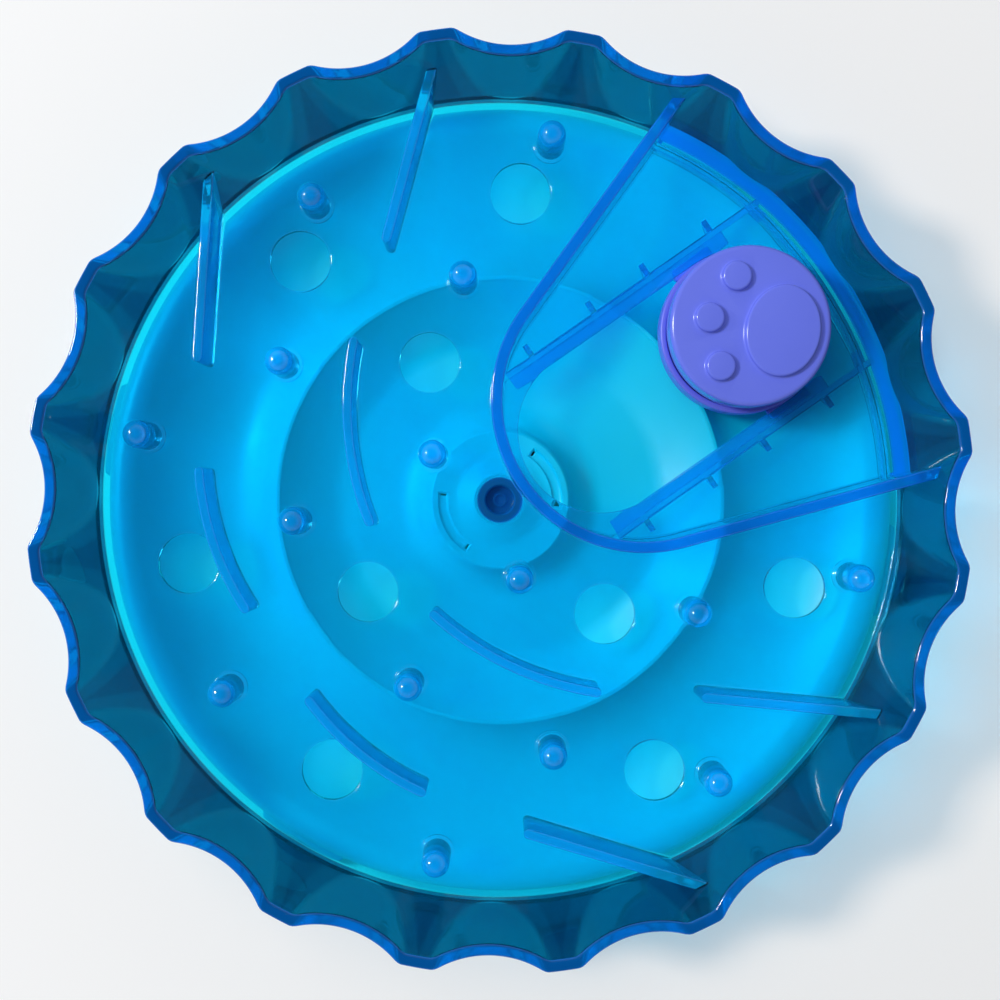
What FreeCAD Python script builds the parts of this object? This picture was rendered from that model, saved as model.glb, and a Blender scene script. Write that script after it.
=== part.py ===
import FreeCAD, Part
import math
import os
import Sketcher

# Cat puzzle feeder: a clear fluted tray that turns on a round dish, with a paw button that
# slides and spins in a slot of the tray.
# The origin is on the turning axis, at the level that the feeder stands on. +Z is up and +X
# runs along the slot. Sizes are millimetres and degrees.

SIZES = {
    # Tray wall
    "rim_radius": 140.0,
    "rim_wall": 3.5,
    "wall_spread": 14.5,
    "wall_height": 28.0,
    "flute_count": 20,
    "flute_depth": 5.8,
    "flute_radius": 30.8,
    "arch_height": 1.9,
    # Tray floor, with its holes placed inwards from the foot of the wall
    "tray_gap": 2.0,
    "floor_thick": 2.5,
    "hole_radius": 9.5,
    "hole_a_inset": 28.2,
    "hole_a_angle": 51.4,
    "hole_b_inset": 27.0,
    "hole_b_angle": 95.1,
    "hole_c_inset": 25.0,
    "hole_c_angle": 156.7,
    "hole_d_radius": 48.9,
    "hole_d_angle": 82.3,
    "hole_e_radius": 50.9,
    "sector_front": 66.8,
    "sector_side": 116.0,
    # Pegs
    "peg_height": 17.0,
    "peg_radius": 4.0,
    "peg_taper": 0.3,
    "peg_foot_radius": 5.5,
    "peg_foot_height": 1.0,
    "peg_a_inset": 12.7,
    "peg_a_angle": 47.1,
    "peg_b_inset": 16.2,
    "peg_b_angle": 87.1,
    "peg_c_inset": 12.7,
    "peg_c_angle": 134.9,
    "peg_d_radius": 69.8,
    "peg_d_angle": 64.6,
    "peg_e_radius": 79.9,
    "peg_e_angle": 113.0,
    "peg_f_radius": 63.8,
    "peg_f_angle": 151.0,
    "peg_g_radius": 25.1,
    "peg_g_angle": 111.0,
    "peg_h_inset": 21.9,
    # Straight fins, from an inner end towards the wall
    "fin_height": 17.0,
    "fin_thick": 3.2,
    "fin_slope": 1.5,
    "fin_reach": 90.0,
    "fin_a_inset": 40.0,
    "fin_a_angle": 79.2,
    "fin_a_heading": 40.2,
    "fin_b_inset": 24.5,
    "fin_b_angle": 120.7,
    "fin_b_heading": 51.5,
    # Curved fins, each an arc about its own centre
    "curve_height": 16.0,
    "curve_thick": 3.0,
    "curve_a_centre_x": 57.5,
    "curve_a_centre_y": -4.9,
    "curve_a_radius": 96.5,
    "curve_a_start": 132.9,
    "curve_a_sweep": 34.7,
    "curve_b_centre_x": 4.9,
    "curve_b_centre_y": 14.6,
    "curve_b_inset": 38.1,
    "curve_b_start": 148.3,
    "curve_b_sweep": 31.0,
    # Wedge: a wall shaped like a U, with the slider's deck inside it
    "wedge_centre": 52.7,
    "wedge_radius": 44.3,
    "wedge_angle": 19.5,
    "wedge_wall": 3.5,
    "wedge_height": 21.0,
    "deck_rise": 6.0,
    "deck_thick": 2.5,
    "slot_half_width": 25.8,
    "slot_inner": 38.2,
    "slot_inset": 33.9,
    "skirt_inset": 3.5,
    "skirt_wall": 2.0,
    # Rails under the deck
    "wing_reach": 3.8,
    "rail_wall": 2.0,
    "rail_drop": 5.2,
    "ledge_thick": 2.0,
    "gusset_length": 4.0,
    "gusset_thick": 1.8,
    "gusset_before": 4.3,
    "gusset_after": 10.3,
    "gusset_near": 10.2,
    # Sliding ring and paw button
    "ring_gap": 0.3,
    "ring_wall": 2.0,
    "ring_rise": 1.0,
    "ring_drop": 0.6,
    "wing_half_length": 12.0,
    "slide_gap": 0.2,
    "button_rise": 21.2,
    "cap_radius": 24.3,
    "cap_thick": 8.7,
    "cap_round": 1.4,
    "cap_skin": 2.5,
    "barrel_wall": 2.2,
    "flange_gap": 0.6,
    "flange_thick": 2.6,
    "stem_radius": 5.0,
    "paw_angle": 135.0,
    "toe_radius": 4.4,
    "toe_height": 1.8,
    "toe_round": 0.8,
    "toe_side_ahead": 6.9,
    "toe_side_out": 13.7,
    "toe_middle_ahead": 12.7,
    "pad_behind": 9.5,
    "pad_half_length": 11.2,
    "pad_half_width": 13.8,
    # Pivot between tray and dish
    "post_radius": 7.0,
    "post_bore": 4.4,
    "post_web": 4.3,
    "running_gap": 0.06,
    "collar_wall": 2.5,
    "washer_thick": 1.2,
    "screw_radius": 1.5,
    "screw_gap": 0.1,
    "screw_bite": 3.5,
    "screw_lift": 0.8,
    "pilot_depth": 7.1,
    "screw_head_radius": 4.0,
    "screw_head_thick": 1.5,
    "recess_arm": 2.4,
    "recess_width": 0.8,
    "recess_depth": 0.9,
    # Dish
    "dish_overhang": 0.5,
    "dish_under": 2.0,
    "dish_plate": 2.5,
    "dish_height": 9.5,
    "dish_wall": 2.8,
    "dish_corner": 8.0,
    "dish_angle": -10.2,
    "rim_reach": 14.0,
    "ridge_inset": 2.95,
    "ridge_height": 9.0,
    "ridge_wall": 2.0,
    "ridge_flank": 8.0,
    "ridge_reach": 14.0,
    "hub_radius": 21.7,
    "hub_height": 9.0,
    "hub_wall": 2.0,
    "hub_flank": 5.0,
    "hub_join": 30.0,
    "arc_slot_radius": 18.2,
    "arc_slot_width": 2.6,
    "arc_slot_sweep": 63.0,
    "lug_angle": 35.0,
    "lug_half_sweep": 7.05,
    "lug_reach": 9.0,
    "lug_base": 6.0,
    "lug_thick": 3.0,
    "slit_length": 9.6,
    "slit_width": 1.6,
    "slit_offset": 1.6,
    "pad_radius": 7.8,
    "pad_socket": 1.0,
    "pad_gap": 0.2,
    "edge_round": 0.8,
}

# Sizes that follow from the ones above
DERIVED = {
    "foot_radius": "rim_radius - wall_spread",
    "hole_a_radius": "foot_radius - hole_a_inset",
    "hole_b_radius": "foot_radius - hole_b_inset",
    "hole_c_radius": "foot_radius - hole_c_inset",
    "peg_a_radius": "foot_radius - peg_a_inset",
    "peg_b_radius": "foot_radius - peg_b_inset",
    "peg_c_radius": "foot_radius - peg_c_inset",
    "peg_h_radius": "foot_radius - peg_h_inset",
    "fin_a_radius": "foot_radius - fin_a_inset",
    "fin_b_radius": "foot_radius - fin_b_inset",
    "curve_b_radius": "foot_radius - curve_b_inset",
    "slot_outer": "foot_radius - slot_inset",
    "skirt_radius": "foot_radius - skirt_inset",
    "rail_offset": "slot_half_width + wing_reach",
    "gusset_middle": "(slot_inner - gusset_before + slot_outer + gusset_after) / 2",
    "flange_radius": "slot_half_width - flange_gap",
    "dish_radius": "foot_radius + dish_overhang",
    "ridge_radius": "(hub_radius + dish_radius) / 2 - ridge_inset",
    "dish_floor": "dish_under + dish_plate",
    "dish_top": "dish_floor + dish_height",
    "ridge_top": "dish_floor + ridge_height",
    "hub_top": "dish_floor + hub_height",
    "rim_join": "dish_radius - rim_reach",
    "pad_place": "(ridge_radius + ridge_reach + rim_join) / 2",
    "floor_height": "ridge_top + tray_gap + floor_thick",
    "button_height": "floor_height + button_rise",
}

# How far a cutting or trimmed shape runs past what it meets
OVERSHOOT = 2.0
# How far the bowl's inside runs past the rim, which the flute cutters outreach
INSIDE_RISE = 1.0
# Share of a thickness that its edges are rounded by, and of a peg's radius for its domed head
EDGE_SHARE = 0.4
DOME_SHARE = 0.95
# Two heights or lengths closer than this count as equal
TOLERANCE = 0.01

doc = FreeCAD.newDocument("CatPuzzleFeeder")
sheet = doc.addObject("Spreadsheet::Sheet", "Sizes")
cells = {alias: str(value) for alias, value in SIZES.items()}
cells.update({alias: "=" + formula for alias, formula in DERIVED.items()})
for row, (alias, content) in enumerate(cells.items(), start=1):
    sheet.set(f"A{row}", alias)
    sheet.setAlias(f"B{row}", alias)
    sheet.set(f"B{row}", content)
doc.recompute()


def size(expression):
    """The value that an expression of sheet names has now."""
    return float(sheet.evalExpression(expression))


def cell(expression):
    """The same expression as an object outside the sheet writes it."""
    words = []
    word = ""
    for letter in expression + " ":
        if letter.isalnum() or letter == "_":
            word += letter
            continue
        words.append("Sizes." + word if word in cells else word)
        words.append(letter)
        word = ""
    return "".join(words).strip()


def plane_of(body, role):
    """One of the body's own origin planes or axes."""
    return next(feature for feature in body.Origin.OriginFeatures if feature.Role == role)


def new_body(label):
    body = doc.addObject("PartDesign::Body", label + "_body")
    body.Label = label
    return body


def new_sketch(body, name, role, level=None):
    """An empty sketch on an origin plane, lifted to a level."""
    sketch = body.newObject("Sketcher::SketchObject", name)
    sketch.AttachmentSupport = [(plane_of(body, role), "")]
    sketch.MapMode = "FlatFace"
    if level:
        sketch.setExpression("AttachmentOffset.Base.z", cell(level))
    return sketch


def bind(sketch, kind, geometry, point, expression):
    """A coordinate of a sketch point that follows the sheet."""
    index = sketch.addConstraint(Sketcher.Constraint(kind, geometry, point, size(expression)))
    name = f"c{index}"
    sketch.renameConstraint(index, name)
    sketch.setExpression("Constraints." + name, cell(expression))


def bind_value(sketch, kind, geometry, expression):
    """A radius or length of a sketch edge that follows the sheet."""
    index = sketch.addConstraint(Sketcher.Constraint(kind, geometry, size(expression)))
    name = f"c{index}"
    sketch.renameConstraint(index, name)
    sketch.setExpression("Constraints." + name, cell(expression))


def draw_outline(sketch, points, arcs=None):
    """A closed outline. arcs gives, for the edge that starts at a point's number, the X of the
    arc's centre, which lies level with the edge's middle, and whether it runs anticlockwise."""
    arcs = arcs or {}
    places = [FreeCAD.Vector(size(x), size(y), 0) for x, y in points]
    ends = []
    for number, start in enumerate(places):
        end = places[(number + 1) % len(places)]
        if number not in arcs:
            geometry = sketch.addGeometry(Part.LineSegment(start, end))
            ends.append((geometry, 1, 2))
            continue
        centre_x, anticlockwise = arcs[number]
        centre = FreeCAD.Vector(size(centre_x), (start.y + end.y) / 2, 0)
        circle = Part.Circle(centre, FreeCAD.Vector(0, 0, 1), (start - centre).Length)
        first, last = (start, end) if anticlockwise else (end, start)
        turn = [math.atan2(p.y - centre.y, p.x - centre.x) for p in (first, last)]
        if turn[1] <= turn[0]:
            turn[1] += 2 * math.pi
        geometry = sketch.addGeometry(Part.ArcOfCircle(circle, turn[0], turn[1]))
        ends.append((geometry, 1, 2) if anticlockwise else (geometry, 2, 1))
    for number, (geometry, start, end) in enumerate(ends):
        following = ends[(number + 1) % len(ends)]
        sketch.addConstraint(
            Sketcher.Constraint("Coincident", geometry, end, following[0], following[1])
        )
    for number, (geometry, start, end) in enumerate(ends):
        bind(sketch, "DistanceX", geometry, start, points[number][0])
        bind(sketch, "DistanceY", geometry, start, points[number][1])
        if number in arcs:
            bind(sketch, "DistanceX", geometry, 3, arcs[number][0])


def draw_rectangle(sketch, low, high):
    draw_outline(sketch, [low, (high[0], low[1]), high, (low[0], high[1])])


def draw_circle(sketch, x, y, radius):
    centre = FreeCAD.Vector(size(x), size(y), 0)
    circle = Part.Circle(centre, FreeCAD.Vector(0, 0, 1), size(radius))
    geometry = sketch.addGeometry(circle)
    bind(sketch, "DistanceX", geometry, 3, x)
    bind(sketch, "DistanceY", geometry, 3, y)
    bind_value(sketch, "Radius", geometry, radius)


def pad(body, sketch, height, both_ways=False):
    feature = body.newObject("PartDesign::Pad", "Pad")
    feature.Profile = sketch
    feature.setExpression("Length", cell(height))
    feature.Midplane = both_ways
    body.Tip = feature
    return feature


def pocket(body, sketch, depth):
    """A pocket that runs upwards from its sketch."""
    before = body.Shape.Volume
    feature = body.newObject("PartDesign::Pocket", "Pocket")
    feature.Profile = sketch
    feature.Reversed = True
    feature.setExpression("Length", cell(depth))
    body.Tip = feature
    doc.recompute()
    if body.Shape.Volume >= before:
        raise RuntimeError(f"{body.Label}: a pocket cuts nothing")
    return feature


def turn_profile(body, sketch, kind="Revolution", sweep="360"):
    feature = body.newObject("PartDesign::" + kind, kind)
    feature.Profile = sketch
    feature.ReferenceAxis = (sketch, ["V_Axis"])
    feature.setExpression("Angle", cell(sweep))
    body.Tip = feature
    return feature


def revolved(label, points, sweep="360"):
    """A body turned about Z from a profile of radius and height."""
    body = new_body(label)
    sketch = new_sketch(body, "Profile", "XZ_Plane")
    draw_outline(sketch, points)
    turn_profile(body, sketch, sweep=sweep)
    doc.recompute()
    return body


def round_edges(body, radius, wanted):
    """Fillet on each edge of the body whose points all pass a test."""
    doc.recompute()
    tip = body.Tip
    names = []
    for number, edge in enumerate(tip.Shape.Edges, start=1):
        samples = [edge.valueAt(t) for t in spread(edge.FirstParameter, edge.LastParameter)]
        if all(wanted(point) for point in samples):
            names.append(f"Edge{number}")
    if not names:
        raise RuntimeError(f"{body.Label}: no edge to round")
    feature = body.newObject("PartDesign::Fillet", "Fillet")
    feature.Base = (tip, names)
    feature.setExpression("Radius", cell(radius))
    body.Tip = feature
    doc.recompute()
    return feature


def spread(first, last, count=4):
    """Evenly spaced values between first and last."""
    return [first + (last - first) * step / (count + 1) for step in range(1, count + 1)]


def near(value, expression):
    return abs(value - size(expression)) < TOLERANCE


def ring_edge(radius, height):
    """A test for the circular edge at a radius from the body's own Z and a height."""
    return lambda point: near(math.hypot(point.x, point.y), radius) and near(point.z, height)


def place(body, x="0", y="0", turn="0"):
    body.setExpression("Placement.Base.x", cell(x))
    body.setExpression("Placement.Base.y", cell(y))
    body.setExpression("Placement.Rotation.Angle", cell(turn))


def place_polar(body, radius, angle, turn="0"):
    place(body, f"({radius}) * cos({angle})", f"({radius}) * sin({angle})", turn)


def combine(label, kind, base, tool):
    """A Part boolean of two shapes of the document."""
    result = doc.addObject("Part::" + kind, label)
    result.Base = base
    result.Tool = tool
    result.Label = label
    result.Refine = True
    return result


# Heights above the ground
FLOOR_UNDER = "floor_height - floor_thick"
DECK_TOP = "floor_height + deck_rise"
DECK_UNDER = "floor_height + deck_rise - deck_thick"
RAIL_UNDER = "floor_height + deck_rise - deck_thick - rail_drop"
FIN_TOP = "floor_height + fin_height"
LEDGE_TOP = RAIL_UNDER + " + ledge_thick"

nodes = []

# Tray wall: a cone whose outside is hollowed by upright flutes that fade out in arches
VALLEY_TOP = "(rim_radius - rim_wall - flute_depth)"
VALLEY_ARCH = (
    "(foot_radius + (rim_radius - rim_wall - foot_radius) * arch_height / wall_height)"
)
VALLEY_LEAN = f"(({VALLEY_TOP} - {VALLEY_ARCH}) / (wall_height - arch_height))"
FLUTE_AXIS = "(rim_radius - flute_depth + flute_radius)"
WALL_LEAN = "((rim_radius - rim_wall - foot_radius) / wall_height)"


def fluted_solid(label, grow, rise):
    """The bowl's outside or inside as a solid. grow is the wall that is added to its radius and
    rise how far it stands above the rim."""
    height = f"wall_height + {rise}"
    body = revolved(
        label,
        [
            ("0", FLOOR_UNDER),
            (f"foot_radius + {grow}", FLOOR_UNDER),
            (f"foot_radius + {grow}", "floor_height"),
            (f"foot_radius + {grow} + {WALL_LEAN} * ({height})", f"floor_height + {height}"),
            ("0", f"floor_height + {height}"),
        ],
    )
    flute = body.newObject("PartDesign::SubtractiveCone", "Flute")
    flute.AttachmentSupport = [(plane_of(body, "XY_Plane"), "")]
    flute.MapMode = "FlatFace"
    low = f"{FLUTE_AXIS} - {VALLEY_TOP} + {VALLEY_LEAN} * wall_height - ({grow})"
    flute.setExpression("Radius1", cell(low))
    flute.setExpression("Radius2", cell(f"{low} - {VALLEY_LEAN} * (wall_height + {OVERSHOOT})"))
    flute.setExpression("Height", cell(f"wall_height + {OVERSHOOT}"))
    flute.setExpression("AttachmentOffset.Base.x", cell(FLUTE_AXIS))
    flute.setExpression("AttachmentOffset.Base.z", cell("floor_height"))
    body.Tip = flute
    doc.recompute()
    flutes = body.newObject("PartDesign::PolarPattern", "Flutes")
    flutes.Originals = [flute]
    flutes.Axis = (plane_of(body, "Z_Axis"), [""])
    flutes.Angle = 360
    flutes.setExpression("Occurrences", cell("flute_count"))
    body.Tip = flutes
    doc.recompute()
    return body


bowl_outside = fluted_solid("bowl_outside", "rim_wall", "0")
bowl_inside = fluted_solid("bowl_inside", "0", str(INSIDE_RISE))
nodes.append(combine("tray_wall", "Cut", bowl_outside, bowl_inside))


# Wedge: its outline is an arc near the pivot with two straight arms that spread towards the rim
def wedge_solid(label, radius, level, height):
    """The wedge's outline at a radius of its arc, raised from a level."""
    far = "(rim_radius + rim_wall)"
    arm = f"(({far} - wedge_centre + ({radius}) * sin(wedge_angle)) * tan(wedge_angle))"
    side = f"(({radius}) * cos(wedge_angle))"
    body = new_body(label)
    sketch = new_sketch(body, "Outline", "XY_Plane", level)
    draw_outline(
        sketch,
        [
            (f"wedge_centre - ({radius}) * sin(wedge_angle)", side),
            (f"wedge_centre - ({radius}) * sin(wedge_angle)", f"-{side}"),
            (far, f"-{side} - {arm}"),
            (far, f"{side} + {arm}"),
        ],
        {0: ("wedge_centre", True)},
    )
    pad(body, sketch, height)
    doc.recompute()
    return body


wedge_outside = wedge_solid(
    "wedge_outside", "wedge_radius + wedge_wall / 2", FLOOR_UNDER, "wedge_height + floor_thick"
)
round_edges(
    wedge_outside,
    f"wedge_wall * {EDGE_SHARE}",
    lambda point: near(point.z, "floor_height + wedge_height"),
)
wedge_inside = wedge_solid(
    "wedge_inside", "wedge_radius - wedge_wall / 2", FLOOR_UNDER, "wedge_height + floor_thick"
)
wedge_band = combine("wedge_band", "Cut", wedge_outside, wedge_inside)
nodes.append(combine("wedge_wall", "Common", wedge_band, bowl_inside))

# Tray floor, with its holes and the wedge left out, in sectors that part between the holes
HOLES = [
    ("hole_a_radius", "hole_a_angle"),
    ("hole_a_radius", "-hole_a_angle"),
    ("hole_b_radius", "hole_b_angle"),
    ("hole_b_radius", "-hole_b_angle"),
    ("hole_c_radius", "hole_c_angle"),
    ("hole_c_radius", "-hole_c_angle"),
    ("hole_d_radius", "hole_d_angle"),
    ("hole_d_radius", "-hole_d_angle"),
    ("hole_e_radius", "180"),
]
floor_disc = new_body("floor_disc")
disc_sketch = new_sketch(floor_disc, "Disc", "XY_Plane", FLOOR_UNDER)
draw_circle(disc_sketch, "0", "0", "foot_radius")
pad(floor_disc, disc_sketch, "floor_thick")
doc.recompute()
hole_sketch = new_sketch(floor_disc, "Holes", "XY_Plane", FLOOR_UNDER)
draw_circle(hole_sketch, "0", "0", "post_bore")
for hole_radius, hole_angle in HOLES:
    draw_circle(
        hole_sketch,
        f"{hole_radius} * cos({hole_angle})",
        f"{hole_radius} * sin({hole_angle})",
        "hole_radius",
    )
pocket(floor_disc, hole_sketch, "floor_thick")
floor_plate = combine("floor_plate", "Cut", floor_disc, wedge_outside)
for turn, side in ((1, "left"), (-1, "right")):
    for place_name, start, end in (
        ("front", "0", "sector_front"),
        ("side", "sector_front", "sector_side"),
        ("back", "sector_side", "180"),
    ):
        sector = new_body(f"sector_{side}_{place_name}")
        slice_sketch = new_sketch(sector, "Slice", "XY_Plane", FLOOR_UNDER)
        corners = [
            (f"2 * rim_radius * cos({angle})", f"{turn} * 2 * rim_radius * sin({angle})")
            for angle in (start, end)
        ]
        draw_outline(slice_sketch, [("0", "0")] + corners)
        pad(sector, slice_sketch, "floor_thick")
        doc.recompute()
        nodes.append(combine(f"tray_floor_{side}_{place_name}", "Common", floor_plate, sector))

# Deck inside the wedge, with the button's slot
deck_plate = wedge_solid("deck_plate", "wedge_radius - wedge_wall / 2", DECK_UNDER, "deck_thick")
slot_sketch = new_sketch(deck_plate, "Slot", "XY_Plane", DECK_UNDER)
draw_outline(
    slot_sketch,
    [
        ("slot_inner", "slot_half_width"),
        ("slot_inner", "-slot_half_width"),
        ("slot_outer", "-slot_half_width"),
        ("slot_outer", "slot_half_width"),
    ],
    {0: ("slot_inner", True), 2: ("slot_outer", True)},
)
pocket(deck_plate, slot_sketch, "deck_thick")
nodes.append(combine("slider_deck", "Common", deck_plate, bowl_inside))

# Skirt that hangs from the deck, just inside the tray wall
skirt_ring = revolved(
    "skirt_ring",
    [
        ("skirt_radius - skirt_wall", FLOOR_UNDER),
        ("skirt_radius", FLOOR_UNDER),
        ("skirt_radius", DECK_UNDER),
        ("skirt_radius - skirt_wall", DECK_UNDER),
    ],
)
nodes.append(combine("deck_skirt", "Common", skirt_ring, wedge_inside))

# Rails under the deck: an upright rib with a ledge for the sliding ring's wings, and gussets
RAIL_INSIDE = "(skirt_radius - skirt_wall)"
LEDGE_START = "(slot_inner - wing_half_length - ring_wall)"
LEDGE_END = "(slot_outer + wing_half_length + ring_wall)"
GUSSETS = (
    "slot_inner - gusset_before",
    "gusset_middle - gusset_near",
    "gusset_middle + gusset_near",
    "slot_outer + gusset_after",
)
runner_disc = revolved(
    "runner_disc",
    [("0", RAIL_UNDER), (RAIL_INSIDE, RAIL_UNDER), (RAIL_INSIDE, DECK_UNDER), ("0", DECK_UNDER)],
)
runner_space = combine("runner_space", "Common", runner_disc, wedge_inside)


def rail(label, side):
    """side is 1 for the rail at +Y and -1 for the one at -Y."""
    body = new_body(label + "_stock")
    rib = new_sketch(body, "Rib", "XY_Plane", RAIL_UNDER)
    draw_rectangle(
        rib,
        ("0", f"{side} * rail_offset"),
        ("skirt_radius", f"{side} * (rail_offset + rail_wall)"),
    )
    pad(body, rib, "rail_drop")
    ledge = new_sketch(body, "Ledge", "XY_Plane", RAIL_UNDER)
    draw_rectangle(
        ledge,
        (LEDGE_START, f"{side} * slot_half_width"),
        (LEDGE_END, f"{side} * (rail_offset + rail_wall / 2)"),
    )
    pad(body, ledge, "ledge_thick")
    for middle in GUSSETS:
        gusset = new_sketch(body, "Gusset", "YZ_Plane", middle)
        root = f"{side} * (rail_offset + rail_wall / 2)"
        face = f"{side} * (rail_offset + rail_wall)"
        tip = f"{side} * (rail_offset + rail_wall + gusset_length)"
        draw_outline(
            gusset,
            [(root, RAIL_UNDER), (face, RAIL_UNDER), (tip, DECK_UNDER), (root, DECK_UNDER)],
        )
        pad(body, gusset, "gusset_thick", both_ways=True)
    doc.recompute()
    return combine(label, "Common", body, runner_space)


nodes.append(rail("slider_rail_left", 1))
nodes.append(rail("slider_rail_right", -1))

# Pegs: a round foot, a slightly tapered shank and a domed head
PEGS = [
    ("peg_a_radius", "peg_a_angle"),
    ("peg_a_radius", "-peg_a_angle"),
    ("peg_b_radius", "peg_b_angle"),
    ("peg_b_radius", "-peg_b_angle"),
    ("peg_c_radius", "peg_c_angle"),
    ("peg_c_radius", "-peg_c_angle"),
    ("peg_d_radius", "peg_d_angle"),
    ("peg_d_radius", "-peg_d_angle"),
    ("peg_e_radius", "peg_e_angle"),
    ("peg_e_radius", "-peg_e_angle"),
    ("peg_f_radius", "peg_f_angle"),
    ("peg_f_radius", "-peg_f_angle"),
    ("peg_g_radius", "peg_g_angle"),
    ("peg_g_radius", "-peg_g_angle"),
    ("peg_h_radius", "180"),
]
PEG_TOP = "floor_height + peg_height"


def peg(number, radius, angle):
    body = revolved(
        f"peg_{number:02d}",
        [
            ("0", "floor_height"),
            ("peg_foot_radius", "floor_height"),
            ("peg_foot_radius", "floor_height + peg_foot_height"),
            ("peg_radius + peg_taper", "floor_height + peg_foot_height"),
            ("peg_radius", PEG_TOP),
            ("0", PEG_TOP),
        ],
    )
    round_edges(body, f"peg_radius * {DOME_SHARE}", ring_edge("peg_radius", PEG_TOP))
    place_polar(body, radius, angle)
    return body


for peg_number, (peg_radius, peg_angle) in enumerate(PEGS, start=1):
    nodes.append(peg(peg_number, peg_radius, peg_angle))


def above_floor(point):
    return point.z > size("floor_height") + TOLERANCE


# Straight fins: each starts with a round end and runs into the tray wall
def free_fin_edge(point):
    """True on a fin's top edges and on the upright edges of its inner end."""
    at_top = near(point.z, FIN_TOP) and not near(point.x, "fin_reach")
    at_end = point.x < size("fin_slope") + TOLERANCE
    return at_top or (at_end and above_floor(point))


def straight_fin(label, radius, angle, heading, side):
    body = new_body(label + "_stock")
    sketch = new_sketch(body, "Side", "XZ_Plane")
    draw_outline(
        sketch,
        [
            ("0", "floor_height"),
            ("fin_reach", "floor_height"),
            ("fin_reach", FIN_TOP),
            ("fin_slope", FIN_TOP),
        ],
    )
    pad(body, sketch, "fin_thick", both_ways=True)
    round_edges(body, f"fin_thick * {EDGE_SHARE}", free_fin_edge)
    place_polar(body, radius, f"{side} * {angle}", f"{side} * {heading}")
    return combine(label, "Common", body, bowl_inside)


nodes.append(straight_fin("straight_fin_1", "fin_a_radius", "fin_a_angle", "fin_a_heading", 1))
nodes.append(straight_fin("straight_fin_2", "fin_a_radius", "fin_a_angle", "fin_a_heading", -1))
nodes.append(straight_fin("straight_fin_3", "fin_b_radius", "fin_b_angle", "fin_b_heading", 1))
nodes.append(straight_fin("straight_fin_4", "fin_b_radius", "fin_b_angle", "fin_b_heading", -1))


# Curved fins: a thin upright profile swept about the fin's own centre
def curved_fin(label, family, side):
    """family is a or b in the sheet, and side is 1 at +Y and -1 for its mirror image."""
    inner = f"{family}_radius - curve_thick / 2"
    outer = f"{family}_radius + curve_thick / 2"
    top = "floor_height + curve_height"
    body = revolved(
        label,
        [(inner, "floor_height"), (outer, "floor_height"), (outer, top), (inner, top)],
        sweep=f"{family}_sweep",
    )
    round_edges(body, f"curve_thick * {EDGE_SHARE}", above_floor)
    start = f"{family}_start" if side > 0 else f"-{family}_start - {family}_sweep"
    place(body, f"{family}_centre_x", f"{side} * {family}_centre_y", start)
    return body


nodes.append(curved_fin("curved_fin_1", "curve_a", 1))
nodes.append(curved_fin("curved_fin_2", "curve_a", -1))
nodes.append(curved_fin("curved_fin_3", "curve_b", 1))
nodes.append(curved_fin("curved_fin_4", "curve_b", -1))

# Pivot post under the tray floor: hollow from above, with a web that takes the screw
POST_UNDER = "dish_under + screw_lift + screw_head_thick + washer_thick"
TUBE_UNDER = POST_UNDER + " + running_gap"
PILOT = "screw_radius + screw_gap"
nodes.append(
    revolved(
        "pivot_post",
        [
            (PILOT, POST_UNDER),
            ("post_radius", POST_UNDER),
            ("post_radius", FLOOR_UNDER),
            ("post_bore", FLOOR_UNDER),
            ("post_bore", f"{POST_UNDER} + post_web"),
            ("0", f"{POST_UNDER} + post_web"),
            ("0", f"{POST_UNDER} + screw_bite + screw_gap"),
            (PILOT, f"{POST_UNDER} + screw_bite + screw_gap"),
        ],
    )
)


def washer(label):
    body = revolved(
        label,
        [
            (PILOT, f"{POST_UNDER} - washer_thick"),
            ("post_radius + collar_wall", f"{POST_UNDER} - washer_thick"),
            ("post_radius + collar_wall", POST_UNDER),
            (PILOT, POST_UNDER),
        ],
    )
    return body


def screw(label, seat, bite):
    """A pan head screw whose head hangs below its seat, with a cross recess."""
    under = f"{seat} - screw_head_thick"
    body = revolved(
        label,
        [
            ("0", under),
            ("screw_head_radius", under),
            ("screw_head_radius", seat),
            ("screw_radius", seat),
            ("screw_radius", f"{seat} + {bite}"),
            ("0", f"{seat} + {bite}"),
        ],
    )
    round_edges(body, f"screw_head_thick * {EDGE_SHARE}", ring_edge("screw_head_radius", under))
    for long_x, long_y in (("recess_arm", "recess_width / 2"), ("recess_width / 2", "recess_arm")):
        cross = new_sketch(body, "Cross", "XY_Plane", under)
        draw_rectangle(cross, (f"-{long_x}", f"-{long_y}"), (long_x, long_y))
        pocket(body, cross, "recess_depth")
    return body


nodes.append(washer("pivot_washer"))
nodes.append(screw("pivot_screw", f"{POST_UNDER} - washer_thick", "washer_thick + screw_bite"))

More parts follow.
